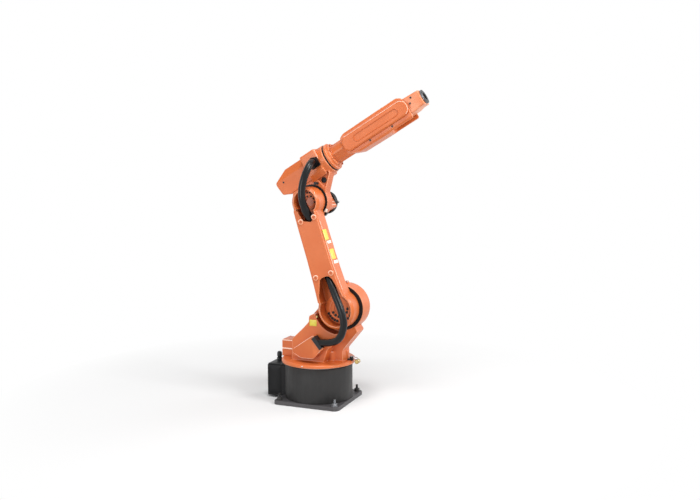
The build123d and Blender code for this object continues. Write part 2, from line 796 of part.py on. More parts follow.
# Elbow casting: joint housing, web, square head and round collar
with BuildPart() as elbow_casting:
    with BuildSketch(elbow_plane.offset(elbow_near - elbow_thickness)) as web_outline:
        with BuildLine():
            Polyline(*scaled(web_shares, forearm_lift, forearm_lift), close=True)
        make_face()
        fillet(web_outline.vertices(), web_corner)
        Circle(elbow_radius)
    extrude(amount=elbow_thickness)
    with BuildSketch(roll_plane.offset(head_start)) as head_section:
        with BuildLine():
            Polyline(*scaled(head_section_shares, head_half_width, head_half_width), close=True)
        make_face()
        fillet(head_section.vertices(), head_edge)
    extrude(amount=head_end - head_start)
    with BuildSketch(roll_plane.offset(head_end)):
        Circle(collar_radius)
    extrude(amount=collar_end - head_end)
    with BuildSketch(roll_plane.offset(head_start)):
        Circle(collar_bore)
    extrude(amount=collar_end - head_start, mode=Mode.SUBTRACT)
    with BuildSketch(elbow_plane.offset(elbow_near - elbow_thickness)):
        Circle(elbow_bore)
    extrude(amount=elbow_thickness, mode=Mode.SUBTRACT)
    with BuildSketch(elbow_plane.offset(elbow_near - web_pocket_depth)) as web_pocket_outline:
        with BuildLine():
            Polyline(*scaled(web_pocket_shares, forearm_lift, forearm_lift), close=True)
        make_face()
        fillet(web_pocket_outline.vertices(), web_pocket_corner)
    extrude(amount=web_pocket_depth, mode=Mode.SUBTRACT)
elbow_casting.part.label = "elbow_casting"
export_step(elbow_casting.part, "parts/elbow_casting.step")

# Black seal ring on the elbow
with BuildPart() as elbow_seal:
    with BuildSketch(elbow_plane.offset(elbow_near)):
        Circle(elbow_seal_radius)
        Circle(elbow_seal_bore, mode=Mode.SUBTRACT)
    extrude(amount=seal_near - elbow_near)
elbow_seal.part.label = "elbow_seal"
export_step(elbow_seal.part, "parts/elbow_seal.step")

# Elbow motor block, square to the forearm and below the joint, and its black end cap
with BuildPart() as elbow_motor:
    with BuildSketch(elbow_plane.offset(-elbow_motor_far)):
        with Locations((0, -elbow_motor_drop)):
            Rectangle(elbow_motor_half + elbow_motor_half, elbow_motor_half + elbow_motor_half)
    extrude(amount=elbow_motor_far - elbow_thickness + elbow_near)
    fillet(elbow_motor.edges().filter_by(Axis.Y), elbow_motor_corner)
elbow_motor.part.label = "elbow_motor"
export_step(elbow_motor.part, "parts/elbow_motor.step")

with BuildPart() as elbow_cap:
    with BuildSketch(elbow_plane.offset(-elbow_cap_far)):
        with Locations((0, -elbow_motor_drop)):
            Circle(elbow_cap_radius)
    extrude(amount=elbow_cap_far - elbow_motor_far)
    chamfer(elbow_cap.faces().sort_by(Axis.Y)[-1].edges(), elbow_cap_edge)
elbow_cap.part.label = "elbow_cap"
export_step(elbow_cap.part, "parts/elbow_cap.step")

# Black plug under the joint housing
plug_turn = radians(elbow_plug_angle)
plug_middle = (elbow_x, -elbow_plug_centre, elbow_z)
plug_plane = Plane(origin=plug_middle, x_dir=(0, 1, 0), z_dir=(cos(plug_turn), 0, sin(plug_turn)))
with BuildPart() as elbow_plug:
    with BuildSketch(plug_plane):
        Rectangle(elbow_plug_width, elbow_plug_width)
    extrude(amount=elbow_radius + elbow_plug_length)
    with BuildSketch(elbow_plane):
        Circle(elbow_radius + seat_gap)
    extrude(amount=elbow_near, mode=Mode.SUBTRACT)
elbow_plug.part.label = "elbow_plug"
export_step(elbow_plug.part, "parts/elbow_plug.step")

# Rear cover over the roll motor: the side profile met by a bevelled cross section
with BuildPart() as roll_motor_cover:
    with BuildSketch(elbow_plane.offset(-cover_half_width)) as rear_outline:
        with BuildLine():
            Polyline(*scaled(rear_cover_shares, forearm_lift, forearm_lift), close=True)
        make_face()
        fillet(rear_outline.vertices(), rear_corner)
    extrude(amount=cover_half_width + cover_half_width)
    with BuildSketch(roll_plane.offset(-elbow_radius - elbow_radius)) as rear_section:
        with BuildLine():
            Polyline(*scaled(rear_section_shares, head_half_width, head_half_width), close=True)
        make_face()
        fillet(rear_section.vertices(), head_edge)
    extrude(amount=forearm_length, mode=Mode.INTERSECT)
roll_motor_cover.part.label = "roll_motor_cover"
export_step(roll_motor_cover.part, "parts/roll_motor_cover.step")

# Hose plate and nozzle on the near side of the head
nozzle_start = upper_hose_route[0]
with BuildPart() as hose_plate:
    with BuildSketch(elbow_plane.offset(head_half_width)):
        with Locations((hose_plate_along, hose_plate_perp)):
            Rectangle(hose_plate_length, hose_plate_height)
    extrude(amount=hose_plate_thickness)
    with BuildSketch(Plane(origin=(nozzle_start[0], -head_half_width, nozzle_start[-1]), z_dir=near_side)):
        Circle(nozzle_radius)
    extrude(amount=hose_plate_thickness + nozzle_length)
    with BuildSketch(run_plane(upper_hose_route[0], upper_hose_route[1])):
        Circle(hose_radius + seat_gap)
    extrude(amount=through_cut, mode=Mode.SUBTRACT)
hose_plate.part.label = "hose_plate"
export_step(hose_plate.part, "parts/hose_plate.step")

# Two black plugs in the web, round in the pocket and oval beside it
with BuildPart() as round_plug:
    with BuildSketch(elbow_plane.offset(elbow_near - web_pocket_depth)):
        with Locations((round_plug_along, round_plug_perp)):
            Circle(round_plug_radius)
    extrude(amount=plug_head)
round_plug.part.label = "round_plug"
export_step(round_plug.part, "parts/round_plug.step")

with BuildPart() as oval_plug:
    with BuildSketch(elbow_plane.offset(elbow_near)):
        with Locations((oval_plug_along, oval_plug_perp)):
            SlotOverall(
                oval_plug_half_length + oval_plug_half_length,
                oval_plug_radius + oval_plug_radius,
                rotation=-forearm_rise,
            )
    extrude(amount=plug_head)
oval_plug.part.label = "oval_plug"
export_step(oval_plug.part, "parts/oval_plug.step")

# Black ring between the collar and the turning forearm
with BuildPart() as roll_seal:
    with BuildSketch(roll_plane.offset(collar_end)):
        Circle(roll_seal_radius)
        Circle(roll_seal_bore, mode=Mode.SUBTRACT)
    extrude(amount=roll_seal_end - collar_end)
roll_seal.part.label = "roll_seal"
export_step(roll_seal.part, "parts/roll_seal.step")

# Forearm casting: fork body, ribbed neck and flange
with BuildPart() as forearm_casting:
    with BuildSketch(roll_side_plane.offset(-body_half_width)) as body_outline:
        with BuildLine():
            Polyline(*scaled(body_shares, forearm_length, flange_radius), close=True)
        make_face()
        fillet(body_outline.vertices(), body_edge)
    extrude(amount=body_half_width + body_half_width)
    with BuildSketch(roll_plane.offset(flange_start)) as body_section:
        with BuildLine():
            Polyline(*scaled(body_section_shares, flange_radius, flange_radius), close=True)
        make_face()
        fillet(body_section.vertices(), body_edge)
    extrude(amount=forearm_length, mode=Mode.INTERSECT)
    with BuildSketch(roll_side_plane.offset(-fork_half_gap)):
        with BuildLine():
            Polyline(
                (fork_bottom, 0),
                (fork_mouth, flange_radius),
                (forearm_length, flange_radius),
                (forearm_length, -flange_radius),
                (fork_mouth, -flange_radius),
                close=True,
            )
        make_face()
    extrude(amount=fork_half_gap + fork_half_gap, mode=Mode.SUBTRACT)
    with BuildSketch(roll_plane.offset(flange_start)):
        Circle(flange_radius)
    extrude(amount=flange_step - flange_start)
    with BuildSketch(roll_plane.offset(flange_start)):
        Circle(flange_step_radius)
    extrude(amount=flange_end - flange_start)
    with BuildSketch(roll_plane.offset(flange_start)):
        Circle(neck_radius)
        with Locations((0, 0)):
            Rectangle(neck_rib, neck_radius + neck_radius + neck_rib)
            Rectangle(neck_radius + neck_radius + neck_rib, neck_rib)
    extrude(amount=neck_end - flange_start)
    with BuildSketch(roll_plane.offset(flange_end - flange_bolt_depth)):
        with PolarLocations(flange_bolt_circle_radius, flange_bolt_count, flange_bolt_start):
            Circle(flange_bolt_radius)
    extrude(amount=flange_bolt_depth, mode=Mode.SUBTRACT)
forearm_casting.part.label = "forearm_casting"
export_step(forearm_casting.part, "parts/forearm_casting.step")

# Side covers of the forearm, a mirrored pair with a plain oval recess
with BuildPart() as side_cover_near:
    with BuildSketch(roll_side_plane.offset(body_half_width)):
        with BuildLine():
            Polyline(
                (side_cover_start, side_cover_radius - side_cover_cut),
                (side_cover_start + side_cover_cut, side_cover_radius),
                (wrist_pivot, side_cover_radius),
                (wrist_pivot, -side_cover_radius),
                (side_cover_start + side_cover_cut, -side_cover_radius),
                (side_cover_start, side_cover_cut - side_cover_radius),
                close=True,
            )
        make_face()
        with Locations((wrist_pivot, 0)):
            Circle(side_cover_radius)
    extrude(amount=side_cover_thickness)
    chamfer(side_cover_near.faces().sort_by(Axis.Y)[0].edges(), side_cover_edge)
    with BuildSketch(roll_side_plane.offset(body_half_width + side_cover_thickness - recess_depth)):
        with Locations(((recess_start + recess_end) * half_share, 0)):
            SlotOverall(recess_end - recess_start, recess_half_height + recess_half_height)
    extrude(amount=recess_depth, mode=Mode.SUBTRACT)
side_cover_near.part.label = "side_cover_near"
export_step(side_cover_near.part, "parts/side_cover_near.step")

with BuildPart() as side_cover_far:
    mirror(side_cover_near.part, about=Plane.XZ)
side_cover_far.part.label = "side_cover_far"
export_step(side_cover_far.part, "parts/side_cover_far.step")

# Wrist block with its pivot bosses
with BuildPart() as wrist_block:
    with BuildSketch(wrist_plane.offset(-wrist_half_width)):
        with BuildLine():
            Polyline(*scaled(wrist_shares, wrist_reach, wrist_radius), close=True)
        make_face()
        Circle(wrist_radius)
    extrude(amount=wrist_half_width + wrist_half_width)
    chamfer(wrist_block.faces().sort_by(Axis.Y)[0].edges(), wrist_edge)
    chamfer(wrist_block.faces().sort_by(Axis.Y)[-1].edges(), wrist_edge)
    with BuildSketch(wrist_plane.offset(joint_gap - fork_half_gap)):
        Circle(wrist_boss_radius)
    extrude(amount=fork_half_gap + fork_half_gap - joint_gap - joint_gap)
wrist_block.part.label = "wrist_block"
export_step(wrist_block.part, "parts/wrist_block.step")

# Tool flange with its bolt circle and centring recess
with BuildPart() as tool_flange:
    with BuildSketch(roll_plane.offset(wrist_face + joint_gap)):
        Circle(tool_flange_radius)
        with PolarLocations(tool_bolt_circle_radius, tool_bolt_count, start_angle=quarter_turn * half_share):
            Circle(tool_bolt_radius, mode=Mode.SUBTRACT)
    extrude(amount=tool_flange_thickness)
    with BuildSketch(roll_plane.offset(forearm_length - tool_pilot_depth)):
        Circle(tool_pilot_radius)
    extrude(amount=tool_pilot_depth, mode=Mode.SUBTRACT)
tool_flange.part.label = "tool_flange"
export_step(tool_flange.part, "parts/tool_flange.step")
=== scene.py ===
"""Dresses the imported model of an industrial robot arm, laid out as a Blender add-on.

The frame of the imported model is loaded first. Every added piece is worked out in millimetres in
one of the local frames that the joints give, and its mesh holds its place in metres.
"""

import json
import math

import bmesh
import bpy
import numpy as np
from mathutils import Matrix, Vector


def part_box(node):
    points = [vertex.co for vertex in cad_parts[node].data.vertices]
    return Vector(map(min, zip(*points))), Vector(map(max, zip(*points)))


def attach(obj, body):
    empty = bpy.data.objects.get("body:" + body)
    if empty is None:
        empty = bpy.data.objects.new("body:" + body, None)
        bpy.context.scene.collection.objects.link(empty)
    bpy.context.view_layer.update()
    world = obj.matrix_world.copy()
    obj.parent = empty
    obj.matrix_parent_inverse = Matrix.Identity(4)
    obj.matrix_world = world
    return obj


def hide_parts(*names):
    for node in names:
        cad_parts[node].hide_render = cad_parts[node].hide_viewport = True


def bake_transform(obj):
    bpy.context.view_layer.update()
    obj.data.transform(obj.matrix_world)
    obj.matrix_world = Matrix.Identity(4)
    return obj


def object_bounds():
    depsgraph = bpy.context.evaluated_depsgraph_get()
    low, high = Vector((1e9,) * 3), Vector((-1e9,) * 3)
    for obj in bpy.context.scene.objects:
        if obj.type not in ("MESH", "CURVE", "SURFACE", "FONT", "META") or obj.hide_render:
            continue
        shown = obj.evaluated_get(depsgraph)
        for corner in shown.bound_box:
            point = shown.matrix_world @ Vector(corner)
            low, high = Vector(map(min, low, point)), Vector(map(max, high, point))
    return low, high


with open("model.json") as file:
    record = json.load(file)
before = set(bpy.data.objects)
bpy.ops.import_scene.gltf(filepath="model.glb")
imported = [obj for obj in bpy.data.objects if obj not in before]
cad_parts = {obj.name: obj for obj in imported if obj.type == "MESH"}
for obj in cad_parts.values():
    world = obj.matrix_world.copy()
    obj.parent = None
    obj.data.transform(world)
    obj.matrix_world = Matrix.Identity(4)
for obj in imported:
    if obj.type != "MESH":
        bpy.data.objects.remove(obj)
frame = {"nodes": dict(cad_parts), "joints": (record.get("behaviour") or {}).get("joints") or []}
cad_low, cad_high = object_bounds()

bl_info = {
    "name": "Robot arm dressing",
    "version": (1, 0, 0),
    "blender": (4, 5, 0),
    "location": "3D View > Sidebar > Robot arm",
    "description": "Gives a packed six-joint robot arm its finishes, hoses, screws and plates",
    "category": "Object",
}

MM = 0.001
FULL_TURN = 2 * math.pi

# Hose routes in millimetres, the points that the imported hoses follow
LOWER_HOSE_ROUTE = [
    (50, -153, 370), (120, -168, 373), (207, -189, 400), (241, -193, 486), (220, -191, 572),
    (180, -177, 643), (143, -153, 710), (92, -118, 780), (67, -117, 855),
]
UPPER_HOSE_ROUTE = [
    (15, -84, 1374), (15, -122, 1374), (15, -158, 1351), (1, -184, 1299), (-15, -192, 1227),
    (-11, -190, 1153), (7, -155, 1079), (33, -114, 1019), (49, -115, 945),
]


class LocalFrame:
    """A place with three axes, in which a piece is written in millimetres."""

    def __init__(self, origin, x_axis, y_axis):
        self.origin = np.asarray(origin, float)
        x_axis = np.asarray(x_axis, float) / np.linalg.norm(x_axis)
        y_axis = np.asarray(y_axis, float)
        y_axis = y_axis - x_axis * (y_axis @ x_axis)
        y_axis = y_axis / np.linalg.norm(y_axis)
        self.axes = np.stack([x_axis, y_axis, np.cross(x_axis, y_axis)])

    def place(self, points):
        """Points in millimetres become points in metres in the frame of the whole object."""
        return self.origin + (np.asarray(points, float) * MM) @ self.axes

    def at(self, place, normal=(0, 0, 1), along=(1, 0, 0)):
        """A frame at a local place whose z axis is the local normal and x axis near along."""
        normal = np.asarray(normal, float) / np.linalg.norm(normal)
        along = np.asarray(along, float)
        along = along - normal * (along @ normal)
        across = np.cross(normal, along)
        return LocalFrame(self.place(place), along @ self.axes, across @ self.axes)


def of_joint(name, key):
    """The place in metres, pos_m, or the axis of the joint with that name."""
    return np.array(next(joint[key] for joint in frame["joints"] if joint["name"] == name))


# Local frames. TURRET has x forward, y up and z near. ARM starts at the shoulder and has x to the
# front, y up the arm and z near. FOREARM starts at the elbow and has x along the forearm.
NEAR = np.array((0.0, -1.0, 0.0))
WORLD = LocalFrame((0, 0, 0), (1, 0, 0), (0, 1, 0))
SHOULDER = of_joint("shoulder_swing", "pos_m") * (1, 0, 1)
ELBOW = of_joint("elbow_swing", "pos_m") * (1, 0, 1)
ALONG_ARM = (ELBOW - SHOULDER) / np.linalg.norm(ELBOW - SHOULDER)
ALONG_FOREARM = of_joint("forearm_roll", "axis")
ARM = LocalFrame(SHOULDER, np.cross(ALONG_ARM, NEAR), ALONG_ARM)
ARM_LENGTH = np.linalg.norm(ELBOW - SHOULDER) / MM
FOREARM = LocalFrame(ELBOW, ALONG_FOREARM, np.cross(NEAR, ALONG_FOREARM))
TURRET = LocalFrame((0, 0, 0), (1, 0, 0), (0, 0, 1))

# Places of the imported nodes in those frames, in millimetres
FOREARM_AXIS = 162
FLANGE_FACE = 238
WRIST_PIVOT = (706, FOREARM_AXIS)
TOOL_FACE = 840
HUB_FACE = 91
BOSS_SEAT = 176
RECESS_FACE = 75
ELBOW_MOTOR_AXIS = -18
BOLT_SPACING = 340


def joined(parts):
    """Several parts of vertices and faces as one, the faces renumbered."""
    vertices = np.concatenate([part[0] for part in parts])
    starts = np.cumsum([0] + [len(part[0]) for part in parts[:-1]])
    faces = np.concatenate([part[1] + start for part, start in zip(parts, starts)])
    return vertices, faces


def grid_faces(rows, columns, wrap):
    """Quads between neighbouring rows and columns of a grid; wrap closes each row on itself."""
    row = np.arange(rows - 1)[:, None]
    column = np.arange(columns if wrap else columns - 1)[None, :]
    following = (column + 1) % columns
    corners = [row * columns + column, row * columns + following]
    corners += [(row + 1) * columns + following, (row + 1) * columns + column]
    return np.stack([corner.ravel() for corner in np.broadcast_arrays(*corners)], axis=1)


def turned(place, profile, steps=48, sides=6):
    """A profile of (radius, height) turned about the local z axis: x = r cos a, y = r sin a.

    A third value, the flat share f, pulls a ring towards a polygon with that many sides:
    r becomes r (1 - f + f / cos(a to the middle of its side)).
    """
    profile = [(*point, 0.0)[:3] for point in profile]
    radius, height, flat = np.array(profile, float).T[:, :, None]
    angle = np.linspace(0, FULL_TURN, steps, endpoint=False)[None, :]
    sector = FULL_TURN / sides
    stretch = 1 / np.cos((angle + sector / 2) % sector - sector / 2)
    radius = radius * (1 - flat + flat * stretch)
    height = height[:, 0]
    x = radius * np.cos(angle)
    y = radius * np.sin(angle)
    z = np.broadcast_to(height[:, None], x.shape)
    points = np.stack([x, y, z], axis=-1).reshape(-1, 3)
    return place.place(points), grid_faces(len(radius), steps, True)


def lofted(place, width, length, corner, levels, steps=48):
    """Rounded rectangles stacked along the local z axis.

    Each level is (inset, height); the outline is a rectangle less its corners, plus an arc round
    each corner, and the inset shrinks all of it evenly. The first and last levels end in a point.
    """
    angle = np.linspace(0, FULL_TURN, steps, endpoint=False) + FULL_TURN / (2 * steps)
    side_x = np.sign(np.cos(angle)) * (width / 2 - corner)
    side_y = np.sign(np.sin(angle)) * (length / 2 - corner)
    rings = []
    for inset, height in levels:
        round_part = max(corner - inset, 0)
        straight = max(inset - corner, 0)
        x = np.sign(side_x) * np.maximum(np.abs(side_x) - straight, 0) + round_part * np.cos(angle)
        y = np.sign(side_y) * np.maximum(np.abs(side_y) - straight, 0) + round_part * np.sin(angle)
        rings.append(np.stack([x, y, np.full(steps, float(height))], axis=-1))
    points = np.concatenate(rings)
    return place.place(points), grid_faces(len(levels), steps, True)


def slab(place, width, length, thickness, corner, edge):
    """A plate with a softened upper edge, standing on the local plane z = 0."""
    half = min(width, length) / 2
    levels = [(half, 0), (0, 0), (0, thickness - edge), (edge * 0.3, thickness - edge * 0.3)]
    levels += [(edge, thickness), (half, thickness)]
    return lofted(place, width, length, corner, levels)


def head(place, radius, height, form="socket", sink=1.5):
    """A screw head on the local plane z = 0, turned with a six-sided socket or as a low dome.

    The dome follows r = R sin a and z = H cos a from the top down to the rim.
    """
    lip = radius * 0.16
    if form == "socket":
        key = radius * 0.52
        profile = [(0, height * 0.2), (key, height * 0.2, 1), (key, height, 1)]
        profile += [(radius - lip, height), (radius, height - lip), (radius, -sink)]
    else:
        angle = np.linspace(0, math.pi / 2, 7)
        profile = list(zip(radius * np.sin(angle), height * np.cos(angle))) + [(radius, -sink)]
    return turned(place, profile, 24)


def band(place, radius, low, high, proud, edge=1.0):
    """A ring that stands proud of a round surface between two heights, with softened edges."""
    outer = radius + proud
    profile = [(radius - 2, low), (outer - edge, low), (outer, low + edge), (outer, high - edge)]
    return turned(place, profile + [(outer - edge, high), (radius - 2, high)], 72)


def tube(line, radii, reference, steps=32):
    """A round tube along a line: each point gets a ring at right angles to the line there.

    The ring is centre + r (cos a * side + sin a * across), where side is the line's direction
    crossed with the reference direction, and across is the direction crossed with side.
    """
    line = np.asarray(line, float)
    direction = np.gradient(line, axis=0)
    direction /= np.linalg.norm(direction, axis=1)[:, None]
    side = np.cross(direction, np.asarray(reference, float))
    side /= np.linalg.norm(side, axis=1)[:, None]
    across = np.cross(direction, side)
    angle = np.linspace(0, FULL_TURN, steps, endpoint=False)[None, :, None]
    ring = side[:, None, :] * np.cos(angle) + across[:, None, :] * np.sin(angle)
    radii = np.broadcast_to(np.asarray(radii, float), len(line))
    points = line[:, None, :] + ring * radii[:, None, None]
    return points.reshape(-1, 3), grid_faces(len(line), steps, True)


def smooth_line(route, per_run=12):
    """The points of a smooth NURBS line in metres whose control points are a route's points."""
    curve = bpy.data.curves.new("route", "CURVE")
    curve.dimensions = "3D"
    spline = curve.splines.new("NURBS")
    spline.points.add(len(route) - 1)
    flat = np.hstack([np.array(route, float) * MM, np.ones((len(route), 1))])
    spline.points.foreach_set("co", flat.ravel())
    spline.order_u = 3
    spline.use_endpoint_u = True
    spline.resolution_u = per_run
    holder = bpy.data.objects.new("route", curve)
    mesh = bpy.data.meshes.new_from_object(holder)
    line = np.empty(len(mesh.vertices) * 3)
    mesh.vertices.foreach_get("co", line)
    bpy.data.objects.remove(holder)
    bpy.data.curves.remove(curve)
    bpy.data.meshes.remove(mesh)
    return line.reshape(-1, 3)


def make_piece(name, parts, finish, body=None, smooth=True):
    """Makes one mesh piece of several parts, merges its doubles and lets it ride on a body.

    Edges over 35 degrees stay sharp, unless smooth is off.
    """
    vertices, faces = joined(parts)
    mesh = bpy.data.meshes.new(name)
    mesh.from_pydata(vertices.tolist(), [], faces.tolist())
    shell = bmesh.new()
    shell.from_mesh(mesh)
    bmesh.ops.remove_doubles(shell, verts=shell.verts, dist=1e-6)
    bmesh.ops.recalc_face_normals(shell, faces=shell.faces)
    shell.to_mesh(mesh)
    shell.free()
    piece = bpy.data.objects.new(name, mesh)
    bpy.context.scene.collection.objects.link(piece)
    mesh.materials.append(bpy.data.materials[finish])
    mesh.shade_smooth()
    if smooth:
        mesh.set_sharp_from_angle(angle=math.radians(35))
    if body:
        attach(piece, body)
    return piece


def linear(red, green, blue):
    """A colour given as 0 to 255 on a screen, as the shaders read it."""
    shares = np.array((red, green, blue), float) / 255
    low = shares / 12.92
    high = ((shares + 0.055) / 1.055) ** 2.4
    return tuple(np.where(shares <= 0.04045, low, high).tolist())


def add_node(tree, kind, **values):
    """Adds a shader node, sets its own properties, and sets or links its inputs by name."""
    node = tree.nodes.new(kind)
    for key, value in values.items():
        if key in node.bl_rna.properties:
            setattr(node, key, value)
        elif isinstance(value, bpy.types.NodeSocket):
            tree.links.new(value, node.inputs[key])
        else:
            node.inputs[key].default_value = value
    return node


def mapped(tree, source, low, high, to_low, to_high):
    """A grey value whose range from low to high is turned into another range."""
    limits = {"From Min": low, "From Max": high, "To Min": to_low, "To Max": to_high}
    return add_node(tree, "ShaderNodeMapRange", Value=source, **limits).outputs["Result"]


def larger(tree, first, second):
    """The larger of two grey values."""
    node = add_node(tree, "ShaderNodeMath", operation="MAXIMUM")
    for socket, value in zip(node.inputs, (first, second)):
        tree.links.new(value, socket)
    return node.outputs[0]


def mixed(tree, factor, first, second):
    """A colour between two colours or sockets by a factor socket."""
    node = add_node(tree, "ShaderNodeMix", data_type="RGBA", Factor=factor)
    for socket, value in ((node.inputs[6], first), (node.inputs[7], second)):
        if isinstance(value, bpy.types.NodeSocket):
            tree.links.new(value, socket)
        else:
            socket.default_value = (*value, 1)
    return node.outputs[2]


def noise(tree, place, scale, detail, rough=0.5):
    """A grey noise over a place socket."""
    node = add_node(tree, "ShaderNodeTexNoise", Vector=place, Scale=scale, Detail=detail,
                    Roughness=rough)
    return node.outputs["Fac"]


def new_material(name, sockets):
    """A new material whose shader's inputs are set by name. Gives its node tree and shader."""
    material = bpy.data.materials.new(name)
    material.use_nodes = True
    shader = material.node_tree.nodes["Principled BSDF"]
    for key, value in sockets.items():
        shader.inputs[key].default_value = value
    return material.node_tree, shader


def tinted(colour, factors):
    """A colour times one factor, or times a factor for each of red, green and blue."""
    return tuple(np.array(colour) * factors)


# Pointiness at which the painted highlight on an edge starts and is full, and the same for
# the painted shade in inner corners
HIGHLIGHT_FROM, HIGHLIGHT_TO = 0.515, 0.575
SHADE_FROM, SHADE_TO = 0.485, 0.42
# How far hollows are looked for, in metres, and the open shares at which the painted shade
# starts and is full
HOLLOW_REACH = 0.085
HOLLOW_FROM, HOLLOW_TO = 0.5, 0.16
# Colour of the painted shade, as shares of the finish's own colour
SHADE_TINT = (0.42, 0.24, 0.2)
# Scales of the noise in the patches of colour and in the slow swell of the surface
PATCH_SCALE = 7.0
SWELL_SCALE = 34.0
SWELL_HEIGHT = 0.002
COAT_ROUGHNESS = 0.22


def make_finish(name, colour, patch, worn, roughness, grain, depth, metallic=0.0, coat=0.0,
                highlight_share=0.5, specular=0.5, crease=0.0):
    """A procedural finish: patchy colour, a pale painted highlight on edges, uneven gloss and two
    sizes of bump.

    Noise on Object coordinates mixes colour and patch. Pointiness lays the edge colour on the
    edges as a painted highlight, by the edge share, and inner corners and closed-in hollows
    darken by crease, a painted shade found from pointiness and ambient occlusion. Roughness is
    (low, high), grain is the noise scale of the fine texture and depth its height in metres.
    """
    tree, shader = new_material(name, {
        "Metallic": metallic, "Coat Weight": coat, "Coat Roughness": COAT_ROUGHNESS,
        "Specular IOR Level": specular})
    place = add_node(tree, "ShaderNodeTexCoord").outputs["Object"]
    patches = noise(tree, place, PATCH_SCALE, 4.0, 0.6)
    specks = noise(tree, place, grain, 2.0)
    swell = noise(tree, place, SWELL_SCALE, 1.0)
    shade = mapped(tree, patches, 0.3, 0.72, 0.0, 1.0)
    point = add_node(tree, "ShaderNodeNewGeometry").outputs["Pointiness"]
    # Convex edges take the edge colour, a painted highlight
    rim = mapped(tree, point, HIGHLIGHT_FROM, HIGHLIGHT_TO, 0.0, highlight_share)
    # Inner corners and closed-in hollows darken towards a redder tone, a painted shade
    corner = mapped(tree, point, SHADE_FROM, SHADE_TO, 0.0, crease)
    if crease:
        hollow = add_node(tree, "ShaderNodeAmbientOcclusion", samples=6, Distance=HOLLOW_REACH)
        shut = mapped(tree, hollow.outputs["AO"], HOLLOW_FROM, HOLLOW_TO, 0.0, crease)
        corner = larger(tree, corner, shut)
    tone = mixed(tree, corner, mixed(tree, shade, colour, patch), tinted(colour, SHADE_TINT))
    tree.links.new(mixed(tree, rim, tone, worn), shader.inputs["Base Color"])
    tree.links.new(mapped(tree, patches, 0.25, 0.75, *roughness), shader.inputs["Roughness"])
    coarse = add_node(tree, "ShaderNodeBump", Strength=0.12, Distance=SWELL_HEIGHT,
                      Height=swell)
    fine = add_node(tree, "ShaderNodeBump", Strength=0.25, Distance=depth, Height=specks,
                    Normal=coarse.outputs["Normal"])
    tree.links.new(fine.outputs["Normal"], shader.inputs["Normal"])


class PaintSettings(bpy.types.PropertyGroup):
    """Colours of the painted, coated and bare surfaces."""

    orange: bpy.props.FloatVectorProperty(
        name="Orange", description="Paint of the castings and covers", subtype="COLOR",
        default=linear(210, 109, 53), min=0, max=1)
    drum: bpy.props.FloatVectorProperty(
        name="Base grey", description="Coat of the base drum and plate", subtype="COLOR",
        default=linear(25, 24, 25), min=0, max=1)
    box: bpy.props.FloatVectorProperty(
        name="Box black", description="Coat of the cable box", subtype="COLOR",
        default=linear(11, 11, 12), min=0, max=1)
    rubber: bpy.props.FloatVectorProperty(
        name="Rubber", description="Hoses, seals and plugs", subtype="COLOR",
        default=linear(11, 12, 14), min=0, max=1)
    gloss: bpy.props.FloatProperty(
        name="Paint roughness", description="Mean roughness of the orange paint",
        default=0.36, min=0, max=1, subtype="FACTOR")


class CastSettings(bpy.types.PropertyGroup):
    """How far the cast edges are rounded."""

    voxel: bpy.props.FloatProperty(
        name="Cell", description="Cell size of the large castings", default=0.003,
        min=0.001, max=0.02, unit="LENGTH")
    fine_share: bpy.props.FloatProperty(
        name="Fine share", description="Cell of covers and small castings to that of large ones",
        default=0.6, min=0.2, max=1, subtype="FACTOR")
    passes: bpy.props.IntProperty(
        name="Passes", description="Smoothing passes that round the cast edges", default=7,
        min=0, max=50)
    edge: bpy.props.FloatProperty(
        name="Machined edge", description="Chamfer on turned and milled edges", default=0.0009,
        min=0, max=0.01, unit="LENGTH")


class HoseSettings(bpy.types.PropertyGroup):
    """Sizes of the two hoses."""

    diameter: bpy.props.FloatProperty(
        name="Diameter", description="Outer diameter of the hoses", default=0.041,
        min=0.005, max=0.1, unit="LENGTH")
    boot: bpy.props.FloatProperty(
        name="Boot", description="Diameter of the boot on the upper hose's lower end",
        default=0.048, min=0, max=0.1, unit="LENGTH")


class FastenerSettings(bpy.types.PropertyGroup):
    """Sizes of the screws and anchor bolts."""

    cover: bpy.props.FloatProperty(
        name="Cover screw", description="Head diameter of the screws in covers and castings",
        default=0.011, min=0.002, unit="LENGTH")
    hub: bpy.props.FloatProperty(
        name="Hub screw", description="Head diameter of the gear screws on the hubs",
        default=0.013, min=0.002, unit="LENGTH")
    stud: bpy.props.FloatProperty(
        name="Anchor", description="Height of the anchor bolts above the base plate",
        default=0.038, min=0.01, unit="LENGTH")


class PlateSettings(bpy.types.PropertyGroup):
    """The bare plates on the arm and the turret."""

    thickness: bpy.props.FloatProperty(
        name="Thickness", description="Thickness of the bare plates", default=0.0009,
        min=0.0002, max=0.01, unit="LENGTH")
    yellow: bpy.props.FloatVectorProperty(
        name="Yellow", description="Colour of the yellow plates", subtype="COLOR",
        default=linear(222, 204, 54), min=0, max=1)


class StageSettings(bpy.types.PropertyGroup):
    """Camera, floor and lamps."""

    azimuth: bpy.props.FloatProperty(
        name="Azimuth", description="Turn of the camera round the robot", subtype="ANGLE",
        default=math.radians(21.93))
    elevation: bpy.props.FloatProperty(
        name="Elevation", description="Height angle of the camera", subtype="ANGLE",
        default=math.radians(6.61))
    distance: bpy.props.FloatProperty(
        name="Distance", description="From the camera to the point that it looks at",
        default=4.9, min=1, unit="LENGTH")
    lens: bpy.props.FloatProperty(
        name="Lens", description="Focal length of the camera", default=44.8, min=10,
        subtype="DISTANCE_CAMERA")
    key: bpy.props.FloatProperty(
        name="Key lamp", description="Power of the main lamp", default=285.0, min=0, unit="POWER")
    fill: bpy.props.FloatProperty(
        name="Fill lamp", description="Power of the lamp on the other side", default=140.0,
        min=0, unit="POWER")
    sky: bpy.props.FloatProperty(
        name="Sky", description="Strength of the even light from all sides", default=0.28,
        min=0, max=2)


